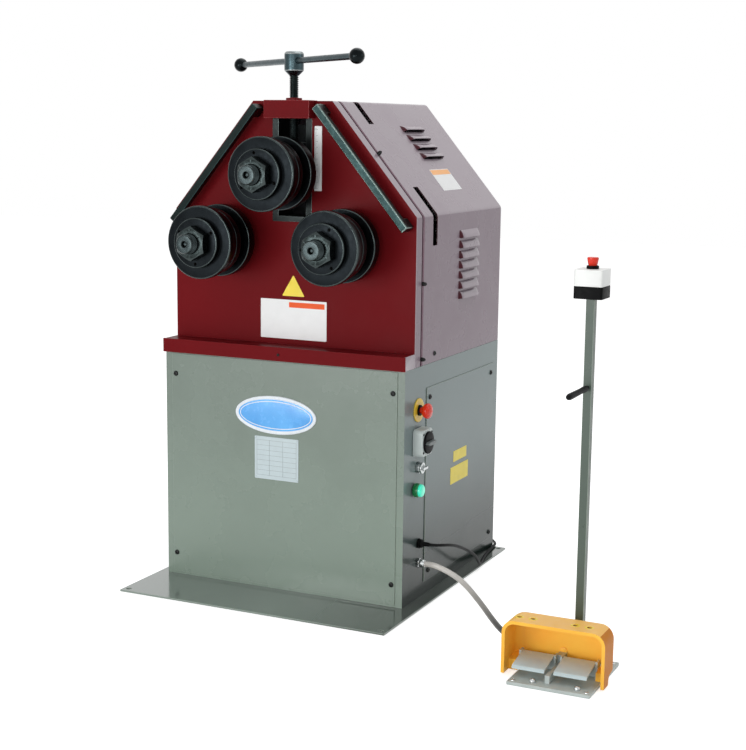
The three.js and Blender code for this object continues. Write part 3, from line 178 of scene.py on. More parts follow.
# %% Rounded corners
def rounded(profile, closed, steps=3):
    points, marks = [], []
    count = len(profile)
    for i, corner in enumerate(profile):
        here = Vector(corner[:2])
        if len(corner) < 3 or (not closed and i in (0, count - 1)):
            points.append(tuple(here))
            marks.append(0)
            continue
        before, after = Vector(profile[i - 1][:2]), Vector(profile[(i + 1) % count][:2])
        reach = min(corner[2], (before - here).length * 0.45, (after - here).length * 0.45)
        start = here + (before - here).normalized() * reach
        end = here + (after - here).normalized() * reach
        for k in range(steps + 1):
            t = k / steps
            points.append(tuple(start * (1 - t) ** 2 + here * 2 * t * (1 - t) + end * t * t))
            marks.append(1 if k < steps else 0)
    return points, marks


round_square = rounded([(0, 0, 1), (9, 0, 1), (9, 9, 1), (0, 9, 1)], True)[0]
print("a square with round corners:", len(round_square), "points")

# %% [markdown]
# Rolls, shafts and knobs are made on a lathe, so they come from a profile of (radius, height) pairs.
# Blender's Screw modifier could turn it too, but not with a material for each corner.

# %% Turned shapes
def circle(radius, count, start=0.0):
    """Points spaced evenly round a circle."""
    angles = [start + 2 * math.pi * k / count for k in range(count)]
    return [(radius * math.cos(angle), radius * math.sin(angle)) for angle in angles]


def turned(profile, segments=64, closed=False):
    outline, kinds = rounded(profile, closed)
    points, rows = [], []
    for radius, height in outline:
        if radius < 1e-6:
            rows.append([len(points)] * segments)
            points.append((0, 0, height))
            continue
        rows.append(list(range(len(points), len(points) + segments)))
        points += [(x, y, height) for x, y in circle(radius, segments)]
    faces, marks = [], []
    last = len(rows) if closed else len(rows) - 1
    for i in range(last):
        low, high = rows[i], rows[(i + 1) % len(rows)]
        for k in range(segments):
            n = (k + 1) % segments
            corners = list(dict.fromkeys((low[k], low[n], high[n], high[k])))
            if len(corners) > 2:
                faces.append(tuple(corners))
                marks.append(kinds[i])
    return shape(points, faces, marks)


print("a disc has", len(turned([(0, 0), (1, 0), (1, 1), (0, 1)])[1]), "faces")

# %% [markdown]
# Sheets, blocks and plates are outlines pushed along Z, as if they were sawn from a bar. A cube scaled to
# size would do for a block, but not for a plate with round corners.

# %% Extruded shapes
def extruded(outline, low, high, mark=0):
    count = len(outline)
    points = [(x, y, low) for x, y in outline] + [(x, y, high) for x, y in outline]
    faces = [tuple(reversed(range(count))), tuple(range(count, 2 * count))]
    faces += [(i, (i + 1) % count, count + (i + 1) % count, count + i) for i in range(count)]
    return shape(points, faces, [mark] * len(faces))


def block(x0, x1, y0, y1, z0, z1, mark=0):
    return extruded([(x0, y0), (x1, y0), (x1, y1), (x0, y1)], z0, z1, mark)


def round_box(width, height, radius, steps=6):
    outline = []
    for quarter, (sx, sy) in enumerate(((1, 1), (-1, 1), (-1, -1), (1, -1))):
        for k in range(steps + 1):
            angle = (quarter + k / steps) * math.pi / 2
            outline.append((sx * (width / 2 - radius) + radius * math.cos(angle),
                            sy * (height / 2 - radius) + radius * math.sin(angle)))
    return outline


def plate(x0, x1, y0, y1, radius, low, high, mark=0):
    """A thin plate between four edges, with round corners."""
    flat = extruded(round_box(x1 - x0, y1 - y0, radius), low, high, mark)
    return moved(flat, at((x0 + x1) / 2, (y0 + y1) / 2))


print("a block has", len(block(0, 1, 0, 1, 0, 1)[1]), "faces")

# %% [markdown]
# Cords, threads and lofted shells have no one outline. They are rows of points with a skin stitched between
# them, row by row, as planks are laid on the frames of a boat.

# %% Stitched shapes
def stitched(rows, closed=True, ends=True, mark=0):
    """A skin over rows of points; closed joins each row's ends, and ends fills the first and last row."""
    count = len(rows[0])
    points = [tuple(point) for row in rows for point in row]
    faces = []
    for i in range(len(rows) - 1):
        for k in range(count if closed else count - 1):
            n = (k + 1) % count
            faces.append((i * count + k, i * count + n, (i + 1) * count + n, (i + 1) * count + k))
    if ends:
        faces += [tuple(range(count)), tuple(reversed(range(len(points) - count, len(points))))]
    return shape(points, faces, [mark] * len(faces))


short_duct = stitched([[(x, y, z) for x, y in circle(1, 8)] for z in (0, 1)])
print("a duct of eight sides has", len(short_duct[1]), "faces")

# %% [markdown]
# Real edges are never sharp: they are folded, broken or worn. A bevel modifier rounds them, and can give the
# new narrow faces their own material. `facing` paints faces by where they look or lie.

# %% Bevels
bevel_segments = 2


def bevelled(made_object, width, segments=bevel_segments, angle=30, edge_material=-1):
    modifier = made_object.modifiers.new("edges", "BEVEL")
    modifier.width = width * MM
    modifier.segments = segments
    modifier.limit_method = "ANGLE"
    modifier.angle_limit = math.radians(angle)
    modifier.material = edge_material
    modifier.harden_normals = True
    return made_object


def facing(made_object, mark, wanted):
    """Gives the faces whose normal and centre answer `wanted` another material number."""
    for polygon in made_object.data.polygons:
        if wanted(polygon.normal, polygon.center):
            polygon.material_index = mark


print("a bevel turns an edge into", bevel_segments, "narrow faces")

# %% [markdown]
# Where the CAD shape is already the real one, a copy of it is enough. Its flat faces are cut up into
# triangles, so they are joined again first, and the bevel then finds only true edges.

# %% Copies of CAD nodes
flat_angle, same_place = 1, 1e-5


def rebuilt(node, width, materials, body="machine", segments=bevel_segments,
            edge_material=-1):
    """A copy of a CAD node with its flat faces joined up and its edges rounded."""
    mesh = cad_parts[node].data.copy()
    mesh.name = node + "_shown"
    work = bmesh.new()
    work.from_mesh(mesh)
    bmesh.ops.remove_doubles(work, verts=work.verts, dist=same_place)
    bmesh.ops.dissolve_limit(work, angle_limit=math.radians(flat_angle), verts=work.verts, edges=work.edges)
    bmesh.ops.recalc_face_normals(work, faces=work.faces)
    work.to_mesh(mesh)
    work.free()
    mesh.materials.clear()
    for material in materials:
        mesh.materials.append(material)
    mesh.polygons.foreach_set("material_index", [0] * len(mesh.polygons))
    shade(mesh)
    made_object = placed(node + "_shown", mesh)
    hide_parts(node)
    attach(made_object, body)
    return bevelled(made_object, width, segments, edge_material=edge_material)


print(len(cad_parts), "CAD nodes to copy or to replace")

# %% [markdown]
# ## Materials
# Each material is a Principled shader with noise in its colour, its roughness and its bump. The noise is in
# object coordinates, so its grain has a real size and needs no picture. `finish` holds the recipe, and each
# call only states what differs.

# %% Shader nodes
def srgb(r, g, b):
    return tuple(((c / 255 + 0.055) / 1.055) ** 2.4 if c > 10 else c / 255 / 12.92 for c in (r, g, b)) + (1,)


def added(tree, kind, **settings):
    """A new shader node; a setting names an input, with underscores for spaces."""
    node = tree.nodes.new("ShaderNode" + kind)
    for name, value in settings.items():
        node.inputs[name.replace("_", " ")].default_value = value
    return node


def noise(tree, place, scale, detail=3):
    node = added(tree, "TexNoise", Scale=scale, Detail=detail)
    tree.links.new(place, node.inputs["Vector"])
    return node.outputs["Fac"]


def spread_to(tree, value, low, high, start=0.3, end=0.7):
    node = added(tree, "MapRange", From_Min=start, From_Max=end, To_Min=low, To_Max=high)
    tree.links.new(value, node.inputs["Value"])
    return node


def bumped(tree, height, distance, below=None):
    node = added(tree, "Bump", Distance=distance * MM)
    tree.links.new(height, node.inputs["Height"])
    if below:
        tree.links.new(below, node.inputs["Normal"])
    return node.outputs["Normal"]


def mixed(tree, share, first, second):
    """A mix of two colours by a share that another node gives."""
    node = tree.nodes.new("ShaderNodeMix")
    node.data_type = "RGBA"
    node.inputs["A"].default_value, node.inputs["B"].default_value = first, second
    tree.links.new(share, node.inputs["Factor"])
    return node.outputs["Result"]


print("green of the cabinet, linear:", [round(c, 3) for c in srgb(125, 141, 129)])

# %% [markdown]
# Broad noise varies the colour, four times finer noise varies the gloss, and a grain of its own makes the
# bump. Sheet metal adds a slow wave, and turned steel adds rings round its axis.

# %% Material recipe
def finish(name, color, roughness=0.4, metallic=0.0, tint=0.06, patch=6, grain=900, bump=0.03, spread=0.08,
           wave=0.0, coat=0.0, dark=None, rings=0.0, specular=0.5):
    """color and dark are sRGB; patch and grain are noise scales per metre; bump, wave and rings are in mm."""
    material = bpy.data.materials.new(name)
    material.use_nodes = True
    tree = material.node_tree
    shader = tree.nodes["Principled BSDF"]
    shader.inputs["Metallic"].default_value = metallic
    shader.inputs["Specular IOR Level"].default_value = specular
    shader.inputs["Coat Weight"].default_value = coat
    shader.inputs["Coat Roughness"].default_value = 0.12
    place = added(tree, "TexCoord").outputs["Object"]

    base = srgb(*color)
    low = srgb(*dark) if dark else tuple(c * (1 - tint) for c in base[:3]) + (1,)
    high = tuple(min(1, c * (1 + tint)) for c in base[:3]) + (1,)
    patches = spread_to(tree, noise(tree, place, patch), 0, 1).outputs["Result"]
    tree.links.new(mixed(tree, patches, low, high), shader.inputs["Base Color"])
    gloss = spread_to(tree, noise(tree, place, patch * 4, 5), roughness - spread, roughness + spread)
    tree.links.new(gloss.outputs["Result"], shader.inputs["Roughness"])

    surface = bumped(tree, noise(tree, place, grain, 2), bump)
    if wave:
        surface = bumped(tree, noise(tree, place, 5, 1), wave, surface)
    if rings:
        turning = added(tree, "TexWave", Scale=260, Distortion=0.4)
        turning.wave_type = "RINGS"
        turning.rings_direction = "Y"
        tree.links.new(place, turning.inputs["Vector"])
        surface = bumped(tree, turning.outputs["Fac"], rings, surface)
    tree.links.new(surface, shader.inputs["Normal"])
    return material


print("one recipe for all materials")

# %% [markdown]
# The cabinet and the head are sprayed sheet metal: a semi-gloss paint with a slight orange peel, which is the
# wave. Edges catch more light, so each paint has a paler edge colour, a painted highlight. The sides lean
# away from the main lamp and get darker, duller copies of their paint: painted shade. The band and hood are
# maroon sheet like the front plate, and their mauve is a painted reflection on the maroon. The seam's dark
# mixes are painted shade, the guard's right side is painted in shade and its top painted lit, and the
# yellower pit ring is a painted highlight.

# %% Paints
sheet_paint = {"patch": 2.5, "grain": 60, "bump": 0.002, "wave": 0.1}
moulded = {"tint": 0.05, "patch": 14, "grain": 150, "bump": 0.01}
grey_green = finish("grey_green_paint", (125, 141, 129), 0.26, tint=0.03, coat=0.15, **sheet_paint)
grey_green_edge = finish("grey_green_edge", (142, 156, 144), 0.32, tint=0.04, patch=20)
floor_green = finish("base_plate_paint", (122, 134, 127), 0.13, tint=0.04, coat=0.7, spread=0.04,
                     **{**sheet_paint, "patch": 4})
post_green = finish("post_paint", (81, 94, 85), 0.34, tint=0.04, patch=8, grain=150, bump=0.006, specular=0.3)
green_side_shade = finish("side_shaded_paint", (118, 132, 132), 0.22, tint=0.03, spread=0.05, specular=0.25, **sheet_paint)
maroon = finish("maroon_paint", (107, 20, 25), 0.34, tint=0.08, specular=0.03, **sheet_paint)
maroon_edge = finish("maroon_edge", (138, 40, 44), 0.28, tint=0.08, patch=20, specular=0.3)
mauve = finish("mauve_paint", (146, 133, 142), 0.26, tint=0.03, coat=0.15, **sheet_paint)
mauve_shaded_side = finish("mauve_shaded_side", (132, 117, 127), 0.28, tint=0.03, specular=0.25, **sheet_paint)
mauve_edge = finish("mauve_edge", (178, 168, 174), 0.3, tint=0.03, patch=20)
seam_dark = finish("seam_shadow", (64, 16, 28), 0.6, tint=0.2, patch=30, specular=0.2)
seam_shade_mauve = finish("seam_shade_mauve", (106, 72, 88), 0.5, tint=0.1, patch=30, specular=0.2)
orange_paint = finish("orange_paint", (255, 195, 75), 0.4, dark=(252, 185, 66), specular=0.2, **moulded)
orange_edge = finish("orange_edge", (252, 190, 84), 0.34, tint=0.03, patch=20)
orange_shaded_side = finish("orange_shaded_side", (202, 124, 28), 0.45, specular=0.1, **moulded)
orange_lit_top = finish("orange_lit_top", (253, 195, 98), 0.4, specular=0.3, **moulded)
pit_ring_highlight = finish("pit_ring_highlight", (248, 214, 40), 0.3, tint=0.03, patch=20)
print(len(bpy.data.materials), "paints")

# %% [markdown]
# The rolls, shafts and nuts are blackened steel. Turned faces have fine rings round their axis, and edges
# are polished by handling, so `roll_edge` is smoother. Its paler colour is partly that wear and partly a
# painted highlight, and the paler edges of handle, rails, guides and pedals are painted highlights as well.
# Castings and pedals are rougher and hardly shine.

# %% Metals
lathe_cut = {"grain": 300, "bump": 0.01, "rings": 0.01}
milled = {"grain": 300, "bump": 0.02}
rail_cut = {"metallic": 0.9, "tint": 0.2, "patch": 26, **milled}
roll_steel = finish("roll_steel", (20, 23, 25), 0.36, 1.0, tint=0.25, patch=22, **lathe_cut)
roll_edge = finish("roll_edge", (60, 67, 67), 0.24, 1.0, tint=0.2, patch=40)
shaft_steel = finish("shaft_steel", (48, 55, 56), 0.28, 1.0, tint=0.35, patch=40, **lathe_cut)
nut_steel = finish("nut_steel", (46, 53, 53), 0.28, 1.0, tint=0.4, patch=50, **milled)
handle_steel = finish("handle_steel", (55, 69, 73), 0.32, 1.0, tint=0.2, patch=30, **milled)
handle_edge = finish("handle_edge", (140, 146, 146), 0.3, 1.0, tint=0.2, patch=60)
ball_steel = finish("ball_steel", (24, 28, 29), 0.2, 1.0, tint=0.2, patch=60)
thread_steel = finish("thread_steel", (30, 36, 36), 0.34, 1.0, tint=0.2, patch=60)
rail_shade = finish("rail_shade", (14, 23, 22), 0.34, **rail_cut)
rail_steel = finish("rail_steel", (30, 46, 46), 0.34, **rail_cut)
rail_edge = finish("rail_edge", (112, 128, 124), 0.32, 1.0, tint=0.12, patch=60)
guide_steel = finish("guide_steel", (34, 38, 38), 0.4, 0.9, tint=0.2, patch=30, **milled)
guide_edge = finish("guide_edge", (96, 106, 104), 0.34, 1.0, tint=0.12, patch=60)
bearing_steel = finish("bearing_steel", (50, 54, 55), 0.42, 0.9, tint=0.2, patch=30)
gear_steel = finish("gear_steel", (172, 172, 168), 0.35, 1.0, tint=0.15, patch=30)
bronze = finish("bronze", (170, 128, 66), 0.35, 1.0, tint=0.15, patch=40)
bright_metal = finish("bright_metal", (186, 190, 190), 0.25, 1.0, tint=0.1, patch=60)
scale_metal = finish("scale_metal", (251, 253, 253), 0.34, tint=0.02, patch=40, bump=0.005)
black_screw = finish("black_screw", (22, 24, 24), 0.45, 0.5, tint=0.2, patch=80)
cast_grey = finish("cast_grey", (96, 105, 107), 0.6, tint=0.12, patch=14, grain=260, bump=0.15)
motor_grey = finish("motor_grey", (76, 88, 102), 0.5, tint=0.1, patch=14, grain=260, bump=0.1)
pedal_casting = finish("pedal_casting", (176, 186, 183), 0.5, tint=0.1, patch=24, grain=300, bump=0.04)
pedal_tread = finish("pedal_tread", (194, 212, 216), 0.6, tint=0.05, patch=30, grain=300, specular=0.3)
pedal_edge = finish("pedal_edge", (206, 211, 208), 0.45, tint=0.05, patch=40)
print(len(bpy.data.materials), "materials so far")

# %% [markdown]
# Switches are moulded plastic with a fine spark grain. The start button's lens is lit, so a little emission
# lies over its green. Cord and grip are dull rubber; black needs hardly any specular, or it turns grey.

# %% Plastics and rubber
spark_grain = {"grain": 700, "bump": 0.02}
grey_plastic = finish("grey_plastic", (188, 198, 196), 0.42, tint=0.03, patch=20, **spark_grain)
white_plastic = finish("white_plastic", (236, 238, 236), 0.38, tint=0.02, patch=20, **spark_grain)
black_plastic = finish("black_plastic", (9, 10, 11), 0.45, tint=0.12, patch=30, specular=0.06, **spark_grain)
yellow_plastic = finish("yellow_plastic", (222, 190, 56), 0.34, tint=0.05, patch=40, **spark_grain)
red_plastic = finish("red_plastic", (218, 44, 18), 0.26, tint=0.06, patch=50, grain=700, bump=0.01, coat=0.15,
                     specular=0.3)
knob_grey = finish("knob_grey", (92, 100, 100), 0.4, tint=0.08, patch=60, bump=0.02)
green_body = finish("green_body", (8, 120, 62), 0.3, tint=0.08, patch=60, bump=0.01, coat=0.3)
green_lens = finish("green_lens", (52, 232, 190), 0.18, tint=0.05, patch=60, bump=0.01, coat=0.5)
lens_shader = green_lens.node_tree.nodes["Principled BSDF"]
lens_shader.inputs["Emission Color"].default_value = srgb(60, 240, 205)
lens_shader.inputs["Emission Strength"].default_value = 0.25

conduit_plastic = finish("conduit_plastic", (216, 212, 206), 0.34, tint=0.1, patch=30, grain=500, bump=0.02)
grip_rubber = finish("grip_rubber", (15, 16, 17), 0.6, tint=0.12, patch=50, grain=500, bump=0.1, specular=0.1)
cord_rubber = finish("cord_rubber", (10, 11, 12), 0.6, tint=0.15, patch=60, grain=500, specular=0.15)
# dark_hole is painted shade for the inside of holes.
dark_hole = finish("dark_hole", (14, 15, 15), 0.7, tint=0.2, patch=40)
print(len(bpy.data.materials), "materials so far")

# %% [markdown]
# Labels and plates are thin printed sheet, flat and even, so their bump is next to nothing.

# %% Labels and plates
printed = {"patch": 40, "bump": 0.005}
label_white = finish("label_white", (233, 234, 234), 0.4, tint=0.02, **printed)
label_orange = finish("label_orange", (246, 178, 112), 0.4, tint=0.04, **printed)
label_signal = finish("label_signal", (238, 92, 36), 0.4, tint=0.04, specular=0.2, **printed)
label_yellow = finish("label_yellow", (240, 214, 40), 0.4, tint=0.05, patch=30, bump=0.005)
label_amber = finish("label_amber", (226, 206, 54), 0.4, tint=0.07, **printed)
badge_blue = finish("badge_blue", (92, 176, 240), 0.24, dark=(64, 154, 228), tint=0.08, patch=12, bump=0.005,
                    coat=0.4)
badge_rim = finish("badge_rim", (226, 232, 238), 0.3, tint=0.05, patch=40)
plate_metal = finish("plate_metal", (190, 204, 208), 0.36, tint=0.03, patch=30, bump=0.005)
plate_line = finish("plate_line", (160, 172, 174), 0.45, tint=0.05, patch=40)
print(len(bpy.data.materials), "materials so far")

# %% [markdown]
# Some surfaces aren't one colour from end to end. The cabinet's front pales towards its foot, because its top
# is painted darker: painted shade. Its side darkens towards the foot: a painted reflection. The base plate
# darkens to the right. The conduit darkens towards the foot switch: painted shade. `fade` multiplies a second
# colour in along one axis of the object, so the painted shade and reflection lie in the colour, not in the
# lamps.

# %% Faded paint
def fade(material, axis, near, far, start, end):
    """Multiplies sRGB colours into the base colour, from near at start to far at end, in metres."""
    tree = material.node_tree
    parts = tree.nodes.new("ShaderNodeSeparateXYZ")
    tree.links.new(added(tree, "TexCoord").outputs["Object"], parts.inputs["Vector"])
    share = spread_to(tree, parts.outputs[axis], 0, 1, start, end)
    share.interpolation_type = "SMOOTHSTEP"
    product = tree.nodes.new("ShaderNodeMix")
    product.data_type = "RGBA"
    product.blend_type = "MULTIPLY"
    product.inputs["Factor"].default_value = 1
    base = tree.nodes["Principled BSDF"].inputs["Base Color"]
    tree.links.new(base.links[0].from_socket, product.inputs["A"])
    shades = mixed(tree, share.outputs["Result"], srgb(*near), srgb(*far))
    tree.links.new(shades, product.inputs["B"])
    tree.links.new(product.outputs["Result"], base)


as_painted = (255, 255, 255)
fades = [(grey_green, "Z", as_painted, (222, 222, 223), 0.08, 0.62),
         (green_side_shade, "Z", (84, 94, 87), as_painted, 0.04, 0.43),
         (conduit_plastic, "X", as_painted, (32, 35, 36), 0.4, 0.7),
         (floor_green, "X", as_painted, (150, 154, 150), 0.0, 0.38)]
for settings in fades:
    fade(*settings)
print("faded materials:", len(fades))

# %% [markdown]
# ## Cords
# A cord bends evenly between the places that hold it. A centripetal Catmull-Rom curve goes through chosen
# points in this way and never loops or overshoots between them, as a plain spline can.

# %% Curve through points
def smooth_through(points, share=12):
    """Points along a centripetal Catmull-Rom curve."""
    way = [Vector(p) for p in points]
    way = [way[0] * 2 - way[1]] + way + [way[-1] * 2 - way[-2]]
    out = []
    for i in range(1, len(way) - 2):
        p0, p1, p2, p3 = way[i - 1:i + 3]
        t1 = math.sqrt((p1 - p0).length)
        t2 = t1 + math.sqrt((p2 - p1).length)
        t3 = t2 + math.sqrt((p3 - p2).length)
        for k in range(share):
            t = t1 + (t2 - t1) * k / share
            a1 = p0 * ((t1 - t) / t1) + p1 * (t / t1)
            a2 = p1 * ((t2 - t) / (t2 - t1)) + p2 * ((t - t1) / (t2 - t1))
            a3 = p2 * ((t3 - t) / (t3 - t2)) + p3 * ((t - t2) / (t3 - t2))
            b1 = a1 * ((t2 - t) / t2) + a2 * (t / t2)
            b2 = a2 * ((t3 - t) / (t3 - t1)) + a3 * ((t - t1) / (t3 - t1))
            out.append(b1 * ((t2 - t) / (t2 - t1)) + b2 * ((t - t1) / (t2 - t1)))
    return out + [way[-2]]


def length_of(points):
    return sum((b - a).length for a, b in zip(points, points[1:]))


straight_way = smooth_through([(0, 0, 0), (1000, 0, 0), (2000, 0, 0)])
print("a straight route of 2 m:", round(length_of(straight_way)), "mm")

# %% [markdown]
# The mains lead leaves its gland, sinks to the base plate in one easy curve, runs back beside the cabinet
# and is coiled behind it with its plug. The conduit runs to the foot switch. Both follow the CAD model's own
# points.

# %% Routes
cord_radius = 4
coil_x, coil_y = 180, 430
coil_inner, coil_pitch, coil_layer = 34, 8.9, 8.7
layer_turns = 2.5
coil_outer_y = coil_y + coil_inner + coil_pitch * layer_turns
mains_start = (388.3, -229, 155)
mains_way = [mains_start, (399, -228.6, 155.4), (409, -224, 155.2), (418, -213, 153.8), (424, -195, 150.5),
             (426, -170, 144), (425, -140, 134.8), (423, -105, 122.2), (420, -65, 107), (417, -20, 87.8),
             (414, 30, 63.5), (409, 62, 45.5), (404, 88, 28.6), (399.6, 108, 17.4), (395.4, 128, 11),
             (389.5, 152, 9.2), (382, 182, 9.1), (375, 218, 9.1), (369.5, 255, 9.1), (365.5, 292, 9.1),
             (362.5, 318, 9.1), (359.5, 336, 8.9), (354, 354, 6.6), (345, 373, 4.4), (332, 391, 4.1),
             (316, 408, 4.1), (299, 425, 4.1), (282, 441, 4.1), (265, 456, 4.1), (247, 469, 4.1),
             (228, 479, 4.1), (208, 485.2, 4.1), (coil_x + 2 * cord_radius + 0.3, coil_outer_y, cord_radius)]
conduit_start, conduit_end = (375.3, -229, 102), (817, -518, 20)
conduit_points = smooth_through([
    conduit_start, (386, -229, 102), (402, -229.5, 101), (424, -232, 96.5), (452, -238, 89),
    (482, -249, 79.5), (512, -267, 68), (545, -295, 56), (580, -329, 44), (616, -366, 31.5),
    (652, -400, 20.5), (688, -424, 11.8), (722, -435, 8.2), (745, -437, 8.8), (763, -440, 11.8),
    (781, -447, 15.8), (797, -459, 18.8), (810, -478, 19.8), (816.4, -498, 20), (817, -509, 20), conduit_end])
print("conduit:", round(length_of(conduit_points)), "mm")

# %% [markdown]
# The spare lead lies wound in two layers: the lower one spirals in, the cord climbs over itself, and the
# upper one spirals out again to a short tail, where the plug hangs on. A loop works the turns out, so the
# cord never runs into itself.

# %% Coil
coil_tail, plug_z = 70, 16
turn_steps, tail_steps = 36, 14
climb_share = 0.25


def eased(value, low, high):
    t = min(max((value - low) / (high - low), 0), 1)
    return t * t * (3 - 2 * t)


def coil_way():
    out = []
    for i in range(int(2 * layer_turns * turn_steps) + 1):
        turn = i / turn_steps
        radius = coil_inner + coil_pitch * abs(turn - layer_turns)
        climb = eased(turn, layer_turns - climb_share, layer_turns + climb_share)
        angle = math.pi / 2 + turn * 2 * math.pi
        out.append(Vector((coil_x + radius * math.cos(angle), coil_y + radius * math.sin(angle),
                           cord_radius + coil_layer * climb)))
    top = cord_radius + coil_layer
    for i in range(1, tail_steps + 1):
        share = i / tail_steps
        out.append(Vector((coil_x - coil_tail * share, coil_outer_y,
                           top + eased(share, 0.1, 0.85) * (plug_z - top))))
    return out


mains_points = smooth_through(mains_way)[:-1] + coil_way()
print("lead:", round(length_of(mains_points)), "mm")

# %% [markdown]
# A smooth round cord is quickest as a curve with a round bevel. It is drawn a hair thinner than the CAD cord,
# so it never touches what it lies on.

# %% Lead
hair_thinner = 0.985
line = bpy.data.curves.new("mains_lead", "CURVE")
line.dimensions = "3D"
line.bevel_depth = cord_radius * MM * hair_thinner
line.bevel_resolution = 6
line.use_fill_caps = True
run = line.splines.new("POLY")
run.points.add(len(mains_points) - 1)
for spot, point in zip(run.points, mains_points):
    spot.co = (*(point * MM), 1)
line.materials.append(cord_rubber)
mains_lead = placed("mains_lead", line)
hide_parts("mains_cord", "mains_coil")
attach(mains_lead, "machine")
print("lead:", len(mains_points), "points")

# %% [markdown]
# The plug is a moulded body, turned from its profile with a waist for the fingers, and three flat pins.

# %% Plug
pin_circle, pin_low, pin_high = 8, 78, 97
pins = [moved(extruded(round_box(2, 6, 0.8), pin_low, pin_high, 1), at(x, y))
        for x, y in circle(pin_circle, 3, math.pi / 2)]
plug_profile = [(0, 0.4), (7.6, 0.4, 1), (7.8, 15, 2), (12, 19, 4), (15.9, 24, 6), (15.9, 56, 1),
                (15.2, 57.5, 0.5), (15.2, 60, 0.5), (15.9, 61.5, 1), (15.9, pin_low, 1.5), (0, pin_low)]
plug_at = pointing((-1, 0, 0), (coil_x - coil_tail, coil_outer_y, plug_z))
mains_plug = piece("plug", moved(together(turned(plug_profile), *pins), plug_at), [cord_rubber, bright_metal],
                   slot="cord_rubber", replaces=["mains_plug"])
print("plug:", len(pins), "pins")

# %% [markdown]
# The conduit is ribbed. A mesh tube with a ring every 1.25 mm can change its radius from ring to ring, which
# a bevelled curve can't: two rings on the rib, two in the groove.

# %% Conduit
def tube(points, radius_at, sides=20):
    """A tube through points; radius_at gives each ring's radius from its number."""
    rings = []
    across = None
    for i, point in enumerate(points):
        along = (points[min(i + 1, len(points) - 1)] - points[max(i - 1, 0)]).normalized()
        side = along.cross(Vector((0, 0, 1))) if across is None else across - along * across.dot(along)
        across = side.normalized()
        rise = across.cross(along)
        rings.append([point + (across * x + rise * y) * radius_at(i) for x, y in circle(1, sides)])
    return stitched(rings)


def evenly(points, step):
    """The same way with a point at every step, and the last point kept."""
    out, left = [points[0]], step
    for a, b in zip(points, points[1:]):
        gone, length = 0.0, (b - a).length
        while length - gone >= left:
            gone += left
            out.append(a + (b - a) * (gone / length))
            left = step
        left -= length - gone
    return out + [points[-1]] if (out[-1] - points[-1]).length > step / 4 else out[:-1] + [points[-1]]


conduit_radius, ring_step = 7.5, 1.25
rib_shares = [0.985, 0.985, 0.93, 0.93]
conduit_rings = evenly(conduit_points, ring_step)
conduit_piece = piece("foot_conduit", tube(conduit_rings, lambda i: conduit_radius * rib_shares[i % 4]),
                      [conduit_plastic], slot="conduit_plastic", replaces=["conduit"])
print("conduit:", len(conduit_rings), "rings")

# %% [markdown]
# The lengths of the two cords, from their routes.

# %% The two cords' lengths
print("cords:", round(length_of(mains_points)), "and", round(length_of(conduit_points)), "mm")

# %% [markdown]
# ## Cabinet
# The cabinet is folded sheet with screwed covers. Its sheets are copies of the CAD nodes with joined faces
# and small bevels, because the CAD shape is already the real one. The faces that look to the right get the
# side's darker paint: painted shade.

# %% Cabinet sheets
green_pair = [grey_green, grey_green_edge]
rebuilt("base_plate", 1.2, [floor_green, grey_green_edge], edge_material=1)
rebuilt("front_panel", 0.8, green_pair, edge_material=1)
for node in ("cabinet_shell", "side_panel"):
    sheet = rebuilt(node, 0.8, [*green_pair, green_side_shade], edge_material=1)
    facing(sheet, 2, lambda normal, centre: normal.x > 0.9)
    print(node, len(sheet.data.polygons), "faces")

# %% [markdown]
# Button-head screws with a hexagon hole hold the covers, where the photograph shows dark dots. The head is a
# small profile with a pit in its middle, turned once and set down at each place.

# %% Cabinet screws
front_y, side_x = -331, 357.3
cover_screw = 7
front_screw_places = [(-323, 567), (323, 567), (-325, 66), (325, 66)]
side_screw_places = [(-173, 537), (272, 537), (286, 60), (-166, 66)]


def screw_head(radius):
    pit, pit_foot, sunk = 0.42 * radius, 0.2 * radius, -0.3
    return turned([(0, pit_foot), (pit, pit_foot), (pit, 0.62 * radius),
                   (0.8 * radius, 0.52 * radius, 0.1 * radius), (radius, 0.12 * radius), (radius, sunk),
                   (0, sunk)], 20)


front_screws = [moved(screw_head(cover_screw), pointing((0, -1, 0), (x, front_y, z)))
                for x, z in front_screw_places]
side_screws = [moved(screw_head(cover_screw), pointing((1, 0, 0), (side_x, y, z)))
               for y, z in side_screw_places]
piece("cabinet_screws", together(*front_screws, *side_screws), [black_screw], slot="grey_green_paint")
print("cabinet screws:", len(front_screws) + len(side_screws))

# %% [markdown]
# The badge is an oval pressing with a raised rim, a blue ring, a pale line and a domed blue field. Ovals
# can't be turned, so rows of points run inwards from the rim, each with its own height.

# %% Badge
badge_centre = (-15, 480)
badge_layers = [(120.5, 51, [(0, -0.2), (0, 2.2), (0.8, 3), (8, 3), (9, 2.2), (10, 2)], 0),
                (111, 41.6, [(0, 0), (0, 2.3), (4, 2.7), (4.2, 2.7)], 1),
                (106.6, 37.2, [(0, 0), (0, 2.9), (2.2, 2.9), (2.3, 2.6)], 0),
                (104, 34.6, [(0, 0), (0, 2.9), (9, 3.5), (18, 3.9), (31, 4.1)], 1)]


def oval(half_width, half_height, rows, mark, segments=96):
    """A dome over an ellipse: rows are (inset, height) pairs from the rim to the middle."""
    rings = [[((half_width - inset) * x, (half_height - inset) * y, height) for x, y in circle(1, segments)]
             for inset, height in rows]
    return stitched(rings, mark=mark)


def upright(y):
    """A matrix that stands a flat drawing of (x, z) up at a place in Y, facing the front."""
    return at(0, y) @ Matrix.Rotation(math.radians(90), 4, "X")


badge = together(*[oval(*layer) for layer in badge_layers])
piece("badge_plate", moved(badge, upright(front_y) @ at(*badge_centre)), [badge_rim, badge_blue],
      slot="selector_metal", angle=50)
print("badge:", len(badge_layers), "layers")

# %% [markdown]
# The data plate is a riveted metal sheet with a ruled table. The rules are thin raised blocks, so they catch
# the light as engraved lines do.

